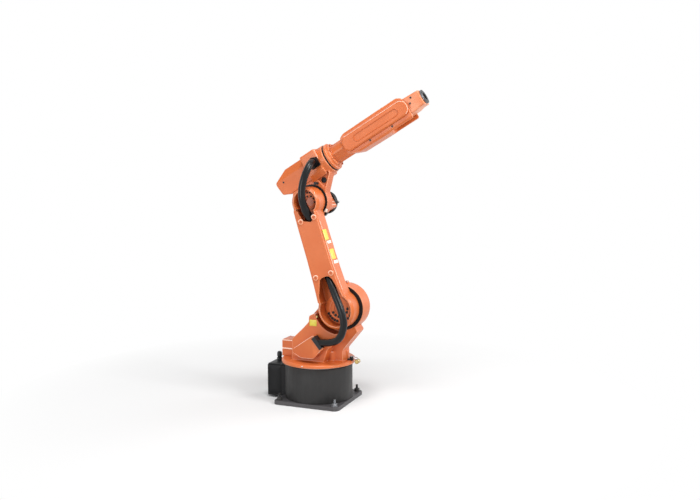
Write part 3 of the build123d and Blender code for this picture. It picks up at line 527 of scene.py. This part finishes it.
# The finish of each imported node
NODE_FINISHES = {
    "orange paint": "turret_casting hose_port arm_casting elbow_casting forearm_casting "
                    "shoulder_motor elbow_motor turn_motor_box",
    "lit wrist paint": "wrist_block",
    "orange cover": "arm_cover roll_motor_cover side_cover_near side_cover_far",
    "lit hub paint": "shoulder_hub elbow_hub",
    "dark iron": "base_drum",
    "lit plate iron": "base_plate",
    "black sheet": "cable_box valve_bracket hose_plate",
    "hose rubber": "lower_hose upper_hose",
    "seal rubber": "shoulder_seal elbow_seal roll_seal",
    "black plastic": "cable_gland shoulder_cap elbow_cap elbow_plug lower_socket round_plug "
                     "oval_plug lower_clamp upper_clamp tool_flange",
    "bright steel": "turn_bearing air_valve",
}


class ROBOT_OT_finishes(bpy.types.Operator):
    """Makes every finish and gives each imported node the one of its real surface."""

    bl_idname = "robot.finishes"
    bl_label = "Finishes"

    def execute(self, context):
        paint = context.scene.robot_paint
        orange = tuple(paint.orange)
        deep = tinted(orange, (0.92, 0.84, 0.80))
        peach = linear(250, 190, 156)
        cast_gloss = (paint.gloss - 0.05, paint.gloss + 0.07)
        cover_gloss = (paint.gloss, paint.gloss + 0.1)
        # The edge colour of each finish is a painted highlight, and crease darkens its inner
        # corners and hollows with painted shade
        make_finish("orange paint", orange, deep, peach, cast_gloss, 420.0, 0.0006,
                    coat=0.1, highlight_share=0.8, crease=0.75, specular=0.35)
        make_finish("orange cover", tinted(orange, (0.98, 0.96, 0.95)), deep, peach, cover_gloss,
                    520.0, 0.0005, coat=0.05, highlight_share=0.8, crease=0.6, specular=0.3)
        # The hubs are the orange made lighter and yellower, a painted light in the shade inside the
        # bells
        make_finish("lit hub paint", tinted(orange, (1.3, 1.2, 0.85)), orange, peach, cover_gloss,
                    520.0, 0.0004, highlight_share=0.6, specular=0.3)
        # The wrist block is the orange mixed towards peach, a painted highlight for the light on it
        pale = tuple(np.array(orange) * 0.4 + np.array(peach) * 0.6)
        make_finish("lit wrist paint", pale, orange, peach, cast_gloss, 420.0, 0.0005,
                    coat=0.1, highlight_share=0.8, crease=0.75, specular=0.35)
        drum = tuple(paint.drum)
        make_finish("dark iron", drum, tinted(drum, 0.82), linear(104, 103, 102),
                    (0.42, 0.58), 640.0, 0.0007, highlight_share=0.35, specular=0.2)
        # The base plate is the drum's grey made lighter, a painted light for the top light on it
        make_finish("lit plate iron", tinted(drum, 6.6), tinted(drum, 5.4), linear(124, 123, 122),
                    (0.4, 0.55), 640.0, 0.0007, highlight_share=0.4, specular=0.3)
        box = tuple(paint.box)
        make_finish("black sheet", box, tinted(box, 0.7), linear(60, 60, 62),
                    (0.38, 0.5), 700.0, 0.0005, highlight_share=0.4, specular=0.16)
        rubber = tuple(paint.rubber)
        make_finish("hose rubber", rubber, tinted(rubber, 0.75), linear(40, 43, 48),
                    (0.27, 0.37), 900.0, 0.0002, highlight_share=0.2, coat=0.15, specular=0.22)
        make_finish("seal rubber", rubber, tinted(rubber, 0.6), linear(52, 54, 58),
                    (0.45, 0.6), 900.0, 0.0003, highlight_share=0.2, specular=0.25)
        make_finish("black plastic", linear(10, 10, 11), linear(7, 7, 8), linear(60, 62, 66),
                    (0.26, 0.38), 800.0, 0.0004, highlight_share=0.45, coat=0.06, specular=0.2)
        make_finish("bright steel", linear(196, 197, 200), linear(164, 166, 170),
                    linear(232, 233, 236), (0.24, 0.4), 1200.0, 0.0002, metallic=1.0)
        make_finish("grey steel", linear(120, 122, 126), linear(96, 98, 102), linear(190, 192, 196),
                    (0.3, 0.45), 900.0, 0.0002, metallic=0.9)
        make_finish("dark screw", linear(24, 23, 23), linear(16, 15, 15), linear(90, 88, 86),
                    (0.34, 0.46), 900.0, 0.0002, metallic=0.25, specular=0.3)
        # A pale peach for lines, ribs, lips and rims, a painted highlight
        make_finish("highlight paint", linear(252, 214, 190), peach, linear(255, 238, 224),
                    (0.26, 0.36), 600.0, 0.0003, coat=0.3)
        make_finish("deep paint", tinted(orange, (0.7, 0.55, 0.5)), deep, orange,
                    (0.4, 0.5), 600.0, 0.0003)
        make_finish("brass", linear(168, 142, 78), linear(128, 108, 62), linear(216, 196, 140),
                    (0.25, 0.4), 900.0, 0.0003, metallic=1.0)
        yellow = tuple(context.scene.robot_plates.yellow)
        make_finish("yellow plate", yellow, tinted(yellow, 0.9), linear(255, 245, 150),
                    (0.3, 0.4), 900.0, 0.0001, highlight_share=0.2)
        make_finish("white plate", linear(244, 242, 230), linear(232, 230, 216),
                    linear(255, 255, 250), (0.3, 0.4), 900.0, 0.0001, highlight_share=0.2)
        for finish, nodes in NODE_FINISHES.items():
            for node in nodes.split():
                slots = frame["nodes"][node].material_slots
                slots[0].material = bpy.data.materials[finish]
        return {"FINISHED"}


# Nodes whose edges are cast, in large and in small cells, and nodes whose edges are machined
LARGE_CASTINGS = "turret_casting arm_casting elbow_casting forearm_casting"
SMALL_CASTINGS = (
    "hose_port arm_cover wrist_block elbow_motor turn_motor_box roll_motor_cover side_cover_near "
    "side_cover_far"
)
MACHINED_NODES = (
    "base_plate base_drum turn_bearing cable_box cable_gland valve_bracket hose_plate lower_socket "
    "shoulder_seal elbow_seal roll_seal shoulder_motor elbow_plug round_plug oval_plug "
    "shoulder_hub elbow_hub lower_clamp upper_clamp tool_flange air_valve shoulder_cap elbow_cap"
)


# Edges sharper than this are broken, and points nearer than this many metres become one
SHARP_ANGLE = math.radians(40)
SAME_POINT = 1e-5


class ROBOT_OT_edges(bpy.types.Operator):
    """Rounds the edges of cast nodes in even cells, and breaks the edges of machined nodes."""

    bl_idname = "robot.edges"
    bl_label = "Edges"

    def execute(self, context):
        cast = context.scene.robot_cast
        for names, share in ((LARGE_CASTINGS, 1), (SMALL_CASTINGS, cast.fine_share)):
            for name in names.split():
                node = frame["nodes"][name]
                cells = node.modifiers.new("cast cells", "REMESH")
                cells.mode = "VOXEL"
                cells.voxel_size = cast.voxel * share
                cells.use_smooth_shade = True
                relax = node.modifiers.new("cast edges", "SMOOTH")
                relax.iterations = cast.passes
        for name in MACHINED_NODES.split():
            node = frame["nodes"][name]
            weld = node.modifiers.new("merged", "WELD")
            weld.merge_threshold = SAME_POINT
            edge = node.modifiers.new("broken edges", "BEVEL")
            edge.width = cast.edge
            edge.segments = 2
            edge.limit_method = "ANGLE"
            edge.angle_limit = SHARP_ANGLE
            edge.harden_normals = True
        return {"FINISHED"}


# Shares of the upper hose's line at which its boot starts to swell, and over which it swells
BOOT_START = 0.68
BOOT_TAPER = 0.04


class ROBOT_OT_hoses(bpy.types.Operator):
    """Makes the two smooth hoses, each a tube along its route.

    The boot on the upper hose swells by 3 s s - 2 s s s, where s goes from 0 to 1 over its taper.
    """

    bl_idname = "robot.hoses"
    bl_label = "Hoses"

    def execute(self, context):
        hose = context.scene.robot_hose
        radius = hose.diameter / 2
        rows = (("lower_hose", LOWER_HOSE_ROUTE, "turret", "upper_arm", (0, 1, 0)),
                ("upper_hose", UPPER_HOSE_ROUTE, "elbow", "upper_arm", (1, 0, 0)))
        for node, route, first, second, reference in rows:
            line = smooth_line(route)
            radii = np.full(len(line), radius)
            if node == "upper_hose":
                share = np.linspace(0, 1, len(line))
                swell = np.clip((share - BOOT_START) / BOOT_TAPER, 0, 1)
                radii += (hose.boot / 2 - radius) * swell * swell * (3 - 2 * swell)
            piece = make_piece(node + "_smooth", [tube(line, radii, reference)], "hose rubber")
            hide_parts(node)
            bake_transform(piece)
        return {"FINISHED"}


# Places of the screws in each casting's frame, in millimetres, and how high a head stands
FOREARM_SIDE = [(473, 112, 58), (618, 110, 58)]
FOREARM_TOP = [(466, 229, 40), (608, 230, 40)]
WRIST_SIDE = [(779, 189, 45.5), (762, 164, 45.5)]
REAR_COVER = [(-99, 180, 57)]
MOTOR_BOX_TOP = [(-199, 348, 38), (-124, 348, 38), (-199, 348, -38), (-124, 348, -38)]
FLUSH_HEAD = 1.0
PROUD_HEAD = 2.4


def mirrored(places):
    """The same places on the far side."""
    return [(x, y, -z) for x, y, z in places]


def circled(centre, radius, degrees, level):
    """Places on a circle at one level: x = centre + r cos a, y = centre + r sin a."""
    angle = np.radians(degrees)
    x = centre[0] + radius * np.cos(angle)
    y = centre[1] + radius * np.sin(angle)
    return np.stack([x, y, np.full(len(angle), float(level))], axis=1)


class ROBOT_OT_screws(bpy.types.Operator):
    """Sets the screws of the forearm, wrist, rear cover and motor box, some painted over."""

    bl_idname = "robot.screws"
    bl_label = "Casting screws"

    def execute(self, context):
        radius = context.scene.robot_fasteners.cover / 2 / MM
        near, far, up = (0, 0, 1), (0, 0, -1), (0, 1, 0)
        rows = (
            ("forearm_screws", "forearm", FOREARM, FOREARM_SIDE, near),
            ("forearm_far_screws", "forearm", FOREARM, mirrored(FOREARM_SIDE), far),
            ("forearm_top_screws", "forearm", FOREARM, FOREARM_TOP + mirrored(FOREARM_TOP), up),
            ("wrist_screws", "wrist", FOREARM, WRIST_SIDE, near),
            ("wrist_far_screws", "wrist", FOREARM, mirrored(WRIST_SIDE), far),
            ("rear_cover_screws", "elbow", FOREARM, REAR_COVER, near),
            ("rear_cover_far_screws", "elbow", FOREARM, mirrored(REAR_COVER), far),
            ("motor_box_screws", "turret", TURRET, MOTOR_BOX_TOP, up),
        )
        painted = {"motor_box_screws", "forearm_top_screws"}
        for name, body, place, spots, normal in rows:
            along = (0, 1, 0) if normal[2] else (1, 0, 0)
            height = FLUSH_HEAD if normal == up else PROUD_HEAD
            parts = [head(place.at(spot, normal, along), radius, height) for spot in spots]
            make_piece(name, parts, "deep paint" if name in painted else "dark screw", body)
        return {"FINISHED"}


# The circles of gear screws on each hub: radius in millimetres, and the angles in degrees
LOWER_HUB = (
    (73, (-171, -158, -145, -132, -119, -62, -48, -34, -20, -6)),
    (46, (-165, -140, -115, -65, -40, -15)),
)
UPPER_HUB = (
    (52, (90, 72, 54, 36, 18, 0, 162, 180, 198, 216)),
    (31, (100, 60, 20, -20)),
)


class ROBOT_OT_hub_screws(bpy.types.Operator):
    """Sets two circles of dark gear screws on each hub, a washer under each head."""

    bl_idname = "robot.hub_screws"
    bl_label = "Hub screws"

    def execute(self, context):
        radius = context.scene.robot_fasteners.hub / 2 / MM
        rows = (("lower_hub_screws", (0, 0), LOWER_HUB, radius),
                ("upper_hub_screws", (0, ARM_LENGTH), UPPER_HUB, radius * 0.7))
        for name, centre, circles, size in rows:
            washer = [(size * 0.5, 1), (size * 1.25, 1), (size * 1.25, -1)]
            parts = []
            for reach, degrees in circles:
                for spot in circled(centre, reach, degrees, HUB_FACE):
                    seat = ARM.at(spot)
                    parts += [turned(seat, washer, 24), head(seat, size, 6)]
            make_piece(name, parts, "dark screw", "upper_arm")
        return {"FINISHED"}


class ROBOT_OT_flange_screws(bpy.types.Operator):
    """Sets the screws of the forearm flange and the screws and rings of the tool flange."""

    bl_idname = "robot.flange_screws"
    bl_label = "Flange screws"

    def execute(self, context):
        face = FOREARM.at((FLANGE_FACE, FOREARM_AXIS, 0), (1, 0, 0), (0, 1, 0))
        spots = circled((0, 0), 64, np.arange(8) * 45 + 22.5, 0)
        parts = [head(face.at(spot), 5.2, 2.4) for spot in spots]
        make_piece("forearm_flange_screws", parts, "deep paint", "forearm")
        tool = FOREARM.at((TOOL_FACE, FOREARM_AXIS, 0), (1, 0, 0), (0, 1, 0))
        spots = circled((0, 0), 24, np.arange(6) * 60, 0)
        parts = [head(tool.at(spot), 3.4, -0.6, sink=6) for spot in spots]
        make_piece("tool_flange_screws", parts, "bright steel", "tool")
        parts = [band(tool, 40, low, low + 1.6, 0.5, 0.4) for low in (-8.6, -5.2, -2.2)]
        make_piece("tool_flange_bands", parts, "grey steel", "tool")
        return {"FINISHED"}


class ROBOT_OT_bosses(bpy.types.Operator):
    """Puts a dished screw boss with painted highlight on its rim at each arm cover fixing point."""

    bl_idname = "robot.bosses"
    bl_label = "Cover bosses"

    def execute(self, context):
        places = [(x, y, BOSS_SEAT) for x, y in ((-47, 521), (36, 526), (-52, 202), (44, 206))]
        dish = [(0, 0.2), (7, 0.2), (8, 1.6), (12.4, 2), (14.4, 1), (15.2, -4.5)]
        make_piece("cover_bosses", [turned(ARM.at(place), dish) for place in places],
                   "orange cover", "upper_arm")
        # An arc over the upper half of each rim, a painted highlight
        arc = circled((0, 0), 13.6, np.linspace(15, 165, 25), 0.9)
        rims = [tube(ARM.place(np.array(place) + arc), 2.1 * MM, NEAR, 8) for place in places]
        make_piece("cover_boss_highlights", rims, "highlight paint", "upper_arm")
        screws = [head(ARM.at(place), 5.5, 1.4) for place in places]
        make_piece("cover_boss_screws", screws, "deep paint", "upper_arm")
        return {"FINISHED"}


class ROBOT_OT_anchors(bpy.types.Operator):
    """Stands an anchor bolt with washer, nut and threaded stud in each corner of the base plate.

    The thread is a profile whose radius goes in and out by turns up the stud.
    """

    bl_idname = "robot.anchors"
    bl_label = "Anchor bolts"

    def execute(self, context):
        top = context.scene.robot_fasteners.stud / MM
        plate_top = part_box("base_plate")[1][2] / MM
        rings = 22
        crests = np.where(np.arange(rings) % 2, 7.0, 6.2)
        thread = list(zip(crests, np.linspace(16, top - 1, rings)))
        stud = [(7, -18)] + thread + [(5.6, top), (0, top)]
        washer = [(8, 0), (18, 0), (18, 3), (8, 3)]
        nut = [(7, 3), (12.4, 3), (13, 4, 1), (13, 15, 1), (12.4, 16), (6, 16)]
        for corner, name in enumerate(("near_left", "near_right", "far_left", "far_right")):
            across, back = corner % 2 - 0.5, corner // 2 - 0.5
            seat = WORLD.at((BOLT_SPACING * across, BOLT_SPACING * back, plate_top))
            parts = [turned(seat, stud, 24), turned(seat, washer, 36), turned(seat, nut, 24)]
            finish = "grey steel" if name == "near_right" else "dark screw"
            make_piece("anchor_" + name, parts, finish, "base")
        return {"FINISHED"}


class ROBOT_OT_plates(bpy.types.Operator):
    """Lays the bare yellow and white plates on arm and turret, and the pale clip on the elbow."""

    bl_idname = "robot.plates"
    bl_label = "Bare plates"

    def execute(self, context):
        thickness = context.scene.robot_plates.thickness / MM
        # Place across, along and near in the arm's frame, then width and length
        yellow = [(57.4, 418, 132, 60, 52), (59.3, 305, 115, 58, 55)]
        white = [(58.1, 374, 114, 16, 50), (61.3, 259, 105, 18, 55)]
        for name, rows in (("yellow_plates", yellow), ("white_plates", white)):
            parts = []
            finish = name.replace("_plates", " plate")
            for across, along, near, width, length in rows:
                seat = ARM.at((across, along, near), (1, 0.0165, 0), (0, 1, 0))
                parts.append(slab(seat, width, length, thickness, 2, 0.3))
            make_piece(name, parts, finish, "upper_arm")
        plate = slab(TURRET.at((24, 475, 130)), 43, 35, thickness, 2, 0.3)
        make_piece("turret_plate", [plate], "yellow plate", "turret")
        clip = FOREARM.at((43, -81, 62), (0, 0, 1), (0.75, -0.66, 0))
        make_piece("cable_clip", [slab(clip, 32, 19, 3.5, 1.5, 0.6)], "white plate", "elbow")
        return {"FINISHED"}


class ROBOT_OT_motor_trim(bpy.types.Operator):
    """Trims the elbow motor and the motor box with rings, ribs and lips, and adds two fittings."""

    bl_idname = "robot.motor_trim"
    bl_label = "Motor trim"

    def execute(self, context):
        cap = FOREARM.at((0, ELBOW_MOTOR_AXIS, 0), (0, 0, -1), (1, 0, 0))
        rings = [band(cap, 65, low, low + 5, 1.4) for low in (103, 115, 127)]
        end = [(0, 151), (18, 151), (20, 149), (20, 147)]
        make_piece("elbow_cap_rings", rings + [turned(cap, end)], "black plastic", "elbow")
        angle = math.radians(28.5)
        outward = (math.cos(angle), -math.sin(angle), 0)
        spot = (60 * outward[0], ELBOW_MOTOR_AXIS + 60 * outward[1], -138)
        stub = FOREARM.at(spot, outward, (0, 0, 1))
        plug = [(0, 13), (4.6, 13), (6, 11.5), (6, 8), (8, 7), (8, 0)]
        make_piece("elbow_cap_plug", [turned(stub, plug, 24)], "grey steel", "elbow")
        ribs = []
        for perp in (22, 2, -20, -42, -62):
            seat = FOREARM.at((57, perp, -54), (1, 0, 0), (0, 0, 1))
            ribs.append(slab(seat, 78, 4, 2.4, 1.5, 1.2))
        # The ribs are pale peach, a painted highlight
        make_piece("elbow_motor_ribs", ribs, "highlight paint", "elbow")
        box = TURRET.at((-161.75, 0, 0), (0, 1, 0), (1, 0, 0))
        lip = [(4, 291), (-1.2, 292), (-1.2, 296.5), (0.6, 299), (4, 299)]
        lid = [(4, 340), (-0.9, 341), (-0.9, 344.5), (1, 346), (4, 346)]
        parts = [lofted(box, 98.5, 100, 6, lip), lofted(box, 98.5, 100, 6, lid)]
        # The lip and the lid's edge are pale peach, a painted highlight
        make_piece("motor_box_lip", parts, "highlight paint", "turret")
        fitting = TURRET.at((35, 509, 121), (1, 0.12, 0), (0, 0, 1))
        nipple = [(0, 17), (4, 17), (4.8, 16), (4.8, 12), (7, 11.5, 1), (7, 4, 1)]
        nipple += [(5.5, 3.5), (5.5, -6)]
        make_piece("grease_fitting", [turned(fitting, nipple, 24)], "brass", "turret")
        rim = TURRET.at((-8, 239, 213))
        make_piece("disc_plug", [head(rim, 5, 0.7, "dome")], "bright steel", "turret")
        return {"FINISHED"}


class ROBOT_OT_valve_trim(bpy.types.Operator):
    """Puts the knurled brass knob and the nuts on the air valve.

    The knurl is a radius that follows a polygon with twenty sides.
    """

    bl_idname = "robot.valve_trim"
    bl_label = "Valve trim"

    def execute(self, context):
        knob = TURRET.at((240, 245, 0))
        upper = [(0, 12.8), (9, 12.8), (9, 12.2), (12.6, 12.2), (14.3, 10.4, 1)]
        lower = [(radius, -height, *flat) for radius, height, *flat in reversed(upper)]
        make_piece("valve_knob", [turned(knob, upper + lower, 60, 20)], "brass", "turret")
        body = TURRET.at((216, 262, 0), (1, 0, 0), (0, 1, 0))
        nut = [(5, 0), (8.2, 0, 1), (8.2, 5, 1), (5, 5)]
        ring = [(5, 16), (7.6, 16), (7.6, 20), (5, 20)]
        parts = [turned(body, nut, 24), turned(body, ring, 24)]
        make_piece("valve_nuts", parts, "bright steel", "turret")
        clamp = TURRET.at((206, 270, 0), (0, 1, 0), (1, 0, 0))
        parts = [head(clamp.at((0, side, 0)), 3.4, 2.6) for side in (-6.5, 6.5)]
        make_piece("valve_clamp_screws", parts, "bright steel", "turret")
        return {"FINISHED"}


class ROBOT_OT_box_trim(bpy.types.Operator):
    """Puts the lid, the side panel and the ribbed gland cap on the cable box."""

    bl_idname = "robot.box_trim"
    bl_label = "Box trim"

    def execute(self, context):
        front = (0, -1, 0)
        lid = WORLD.at((-251, 0, 197))
        panel = WORLD.at((-253, -65, 105), front)
        parts = [slab(lid, 92, 128, 2.5, 4, 0.8), slab(panel, 82, 172, 1.6, 3, 0.6)]
        make_piece("box_lid_and_panel", parts, "black sheet", "base")
        spots = [(x, y, 199.5) for x in (-290, -212) for y in (-57, 57)]
        parts = [head(WORLD.at(spot), 4, 2, "dome") for spot in spots]
        spots = [(x, -66.6, z) for x in (-288, -218) for z in (26, 184)]
        parts += [head(WORLD.at(spot, front), 4, 2, "dome") for spot in spots]
        make_piece("box_screws", parts, "dark screw", "base")
        gland = WORLD.at((-270, 34, 0))
        cap = [(11, 206), (15.5, 206, 1), (15.5, 216, 1), (12, 217), (12, 224)]
        cap += [(14.6, 225, 1), (14.6, 243, 1), (12, 248), (8, 248)]
        make_piece("gland_cap", [turned(gland, cap, 48, 12)], "black plastic", "base")
        return {"FINISHED"}


class ROBOT_OT_edge_highlights(bpy.types.Operator):
    """Runs thin lines of painted highlight along sharp edges of turret, arm, elbow and covers.

    Each line is a round tube, half sunk in the edge, through the corners of the edge.
    """

    bl_idname = "robot.worn_edges"
    bl_label = "Edge highlights"

    def execute(self, context):
        ridge = [(-96, 320, 132), (-60, 344, 144), (-10, 378, 159), (40, 410, 174), (60, 394, 175)]
        bevel = [(-104, 296, 131), (-41, 274, 152), (40, 281, 174), (86, 329, 175)]
        upright = [(254, 416, 60), (178, 320, 60)]
        foot = [(30, 303.5, 75), (98, 303.5, 75), (112, 303.5, 70), (176, 303.5, 4)]
        rows = (ridge, bevel, upright, foot)
        self.lines("turret_edge_highlights", TURRET, rows, (1.4, 0.8, 1, 1.2), "turret")
        front = [(74.5, 104), (65, 187), (60.6, 262), (58, 357), (55.6, 500)]
        front = [(*corner, 153) for corner in front]
        opening = [(67, 668, 144), (70, 654, 152), (71, 634, 158.5)]
        self.lines("arm_edge_highlights", ARM, (front, opening), (1.5, 1.2), "upper_arm")
        head_side = [(164, 238, 72), (164.5, 214, 76), (165, 186, 80.5), (165.5, 152, 82.5)]
        self.lines("elbow_edge_highlights", FOREARM, (head_side,), (1.3,), "elbow")
        reach, level = 40.8, 72.6
        rim = circled(WRIST_PIVOT, reach, np.linspace(90, -70, 33), level)
        rim = np.concatenate([[(352, FOREARM_AXIS + reach, level)], rim])
        rims = (rim, rim * (1, 1, -1))
        self.lines("side_cover_edge_highlights", FOREARM, rims, (1.3, 1.3), "forearm")
        return {"FINISHED"}

    def lines(self, name, place, corners, radii, body):
        """Tubes of the given radii through rows of corners, joined into one piece."""
        parts = []
        for row, radius in zip(corners, radii):
            share = np.linspace(0, len(row) - 1, 8 * len(row))
            line = [np.interp(share, range(len(row)), axis) for axis in np.array(row, float).T]
            parts.append(tube(place.place(np.stack(line, axis=1)), radius * MM, NEAR, 8))
        make_piece(name, parts, "highlight paint", body)


class ROBOT_OT_recess(bpy.types.Operator):
    """Lays a low bead round the plain oval recess of each side cover.

    The bead is a tube whose line is two half circles joined by straights.
    """

    bl_idname = "robot.recess"
    bl_label = "Oval bead"

    def execute(self, context):
        start, end, half = 400, 690, 20
        angle = np.linspace(-math.pi / 2, math.pi / 2, 17)
        right = np.stack([end - half + half * np.cos(angle), half * np.sin(angle)], axis=1)
        left = np.stack([start + half - half * np.cos(angle), -half * np.sin(angle)], axis=1)
        outline = np.concatenate([right, left])
        for side, name in ((1, "near"), (-1, "far")):
            level = np.full(len(outline), float(RECESS_FACE * side))
            line = np.column_stack([outline[:, 0], outline[:, 1] + FOREARM_AXIS, level])
            ring = np.concatenate([line, line[:2]])
            parts = [tube(FOREARM.place(ring), 1.7 * MM, NEAR, 8)]
            # The bead is in the darker orange, a painted shade line round the recess
            make_piece("recess_bead_" + name, parts, "deep paint", "forearm")
        return {"FINISHED"}


# The point that the camera looks at in metres, and the width of its sensor in millimetres
LOOKS_AT = (0.19457, 0, 0.88053)
SENSOR_WIDTH = 36
# Metres from the middle at which the floor's colour starts to fade and is plain white
FADE_FROM, FADE_TO = 0.5, 1.9
# Power of the side lamp to that of the key lamp
SIDE_SHARE = 0.45


class ROBOT_OT_stage(bpy.types.Operator):
    """Makes the pale floor, the soft lamps, the white surroundings and the camera."""

    bl_idname = "robot.stage"
    bl_label = "Stage"

    def execute(self, context):
        stage = context.scene.robot_stage
        self.floor()
        self.surroundings(context.scene, stage)
        # Power in watts, place and size in metres
        self.lamp("key lamp", stage.key, (5.8, -1.5, 4.8), 2.0)
        self.lamp("fill lamp", stage.fill, (-2.3, -6.8, 1.4), 2.7)
        self.lamp("top lamp", stage.key, (1.1, -2.3, 7.0), 2.4)
        self.lamp("side lamp", stage.key * SIDE_SHARE, (5.0, 5.1, 2.6), 3.0)
        self.camera(context.scene, stage)
        return {"FINISHED"}

    def floor(self):
        """A round pale floor whose colour fades to plain white far from the robot."""
        rings = [(radius, -0.5) for radius in (0, 600, 1500, 3000, 6000, 12000, 30000)]
        tree, shader = new_material("pale floor", {
            "Base Color": (0.86, 0.86, 0.86, 1), "Roughness": 0.7, "Specular IOR Level": 0.1})
        place = add_node(tree, "ShaderNodeTexCoord").outputs["Object"]
        length = add_node(tree, "ShaderNodeVectorMath", operation="LENGTH", Vector=place)
        far = mapped(tree, length.outputs["Value"], FADE_FROM, FADE_TO, 0.0, 1.0)
        white = add_node(tree, "ShaderNodeEmission", Color=(1, 1, 1, 1), Strength=1.0)
        mix = add_node(tree, "ShaderNodeMixShader")
        for socket, source in zip(mix.inputs, (far, shader.outputs[0], white.outputs[0])):
            tree.links.new(source, socket)
        tree.links.new(mix.outputs[0], tree.nodes["Material Output"].inputs["Surface"])
        make_piece("floor", [turned(WORLD, rings, 96)], "pale floor", smooth=False)

    def surroundings(self, scene, stage):
        """White for the camera and in gloss, and an even grey light on everything else."""
        world = bpy.data.worlds.new("surroundings")
        world.use_nodes = True
        tree = world.node_tree
        back = tree.nodes["Background"]
        back.inputs["Color"].default_value = (1, 1, 1, 1)
        path = add_node(tree, "ShaderNodeLightPath").outputs
        through = larger(tree, path["Is Glossy Ray"], path["Is Transmission Ray"])
        seen = larger(tree, path["Is Camera Ray"], through)
        tree.links.new(mapped(tree, seen, 0, 1, stage.sky, 1.0), back.inputs["Strength"])
        scene.world = world

    def lamp(self, name, power, place, size):
        """A square soft lamp that looks at the middle of the robot."""
        light = bpy.data.lights.new(name, "AREA")
        light.energy = power
        light.size = size
        lamp = bpy.data.objects.new(name, light)
        bpy.context.scene.collection.objects.link(lamp)
        lamp.location = place
        lamp.rotation_mode = "QUATERNION"
        middle = (Vector(cad_low) + Vector(cad_high)) / 2
        lamp.rotation_quaternion = (Vector(place) - middle).to_track_quat("Z", "Y")

    def camera(self, scene, stage):
        """The camera at the photograph's angle, distance and focal length."""
        turn, rise = stage.azimuth, stage.elevation
        flat = math.cos(rise)
        back = np.array((math.sin(turn) * flat, -math.cos(turn) * flat, math.sin(rise)))
        camera = bpy.data.objects.new("camera", bpy.data.cameras.new("camera"))
        camera.data.lens = stage.lens
        camera.data.sensor_width = SENSOR_WIDTH
        camera.location = np.array(LOOKS_AT) + back * stage.distance
        camera.rotation_mode = "QUATERNION"
        camera.rotation_quaternion = Vector(back).to_track_quat("Z", "Y")
        scene.collection.objects.link(camera)
        scene.camera = camera


class VIEW3D_PT_robot(bpy.types.Panel):
    """Lists the sizes, colours and steps of the robot's dressing."""

    bl_idname = "VIEW3D_PT_robot"
    bl_label = "Robot arm"
    bl_space_type = "VIEW_3D"
    bl_region_type = "UI"
    bl_category = "Robot arm"

    def draw(self, context):
        for name, group in SETTINGS:
            box = self.layout.box()
            settings = getattr(context.scene, name)
            for key in group.__annotations__:
                box.prop(settings, key)
        for step in STEPS:
            self.layout.operator(step.bl_idname)


SETTINGS = (
    ("robot_paint", PaintSettings), ("robot_cast", CastSettings), ("robot_hose", HoseSettings),
    ("robot_fasteners", FastenerSettings), ("robot_plates", PlateSettings),
    ("robot_stage", StageSettings),
)
STEPS = (
    ROBOT_OT_finishes, ROBOT_OT_edges, ROBOT_OT_hoses, ROBOT_OT_screws, ROBOT_OT_hub_screws,
    ROBOT_OT_flange_screws, ROBOT_OT_bosses, ROBOT_OT_anchors, ROBOT_OT_plates,
    ROBOT_OT_motor_trim, ROBOT_OT_valve_trim, ROBOT_OT_box_trim, ROBOT_OT_edge_highlights,
    ROBOT_OT_recess, ROBOT_OT_stage,
)


def register():
    """Registers the settings, the operators and the panel."""
    for name, group in SETTINGS:
        bpy.utils.register_class(group)
        setattr(bpy.types.Scene, name, bpy.props.PointerProperty(type=group))
    for step in STEPS:
        bpy.utils.register_class(step)
    bpy.utils.register_class(VIEW3D_PT_robot)


def unregister():
    """Takes back what register did."""
    bpy.utils.unregister_class(VIEW3D_PT_robot)
    for step in reversed(STEPS):
        bpy.utils.unregister_class(step)
    for name, group in reversed(SETTINGS):
        delattr(bpy.types.Scene, name)
        bpy.utils.unregister_class(group)


def main():
    """Runs every step in order."""
    register()
    bpy.context.scene.view_settings.view_transform = "Standard"
    for step in STEPS:
        group, _, name = step.bl_idname.partition(".")
        getattr(getattr(bpy.ops, group), name)()


if __name__ == "__main__":
    main()
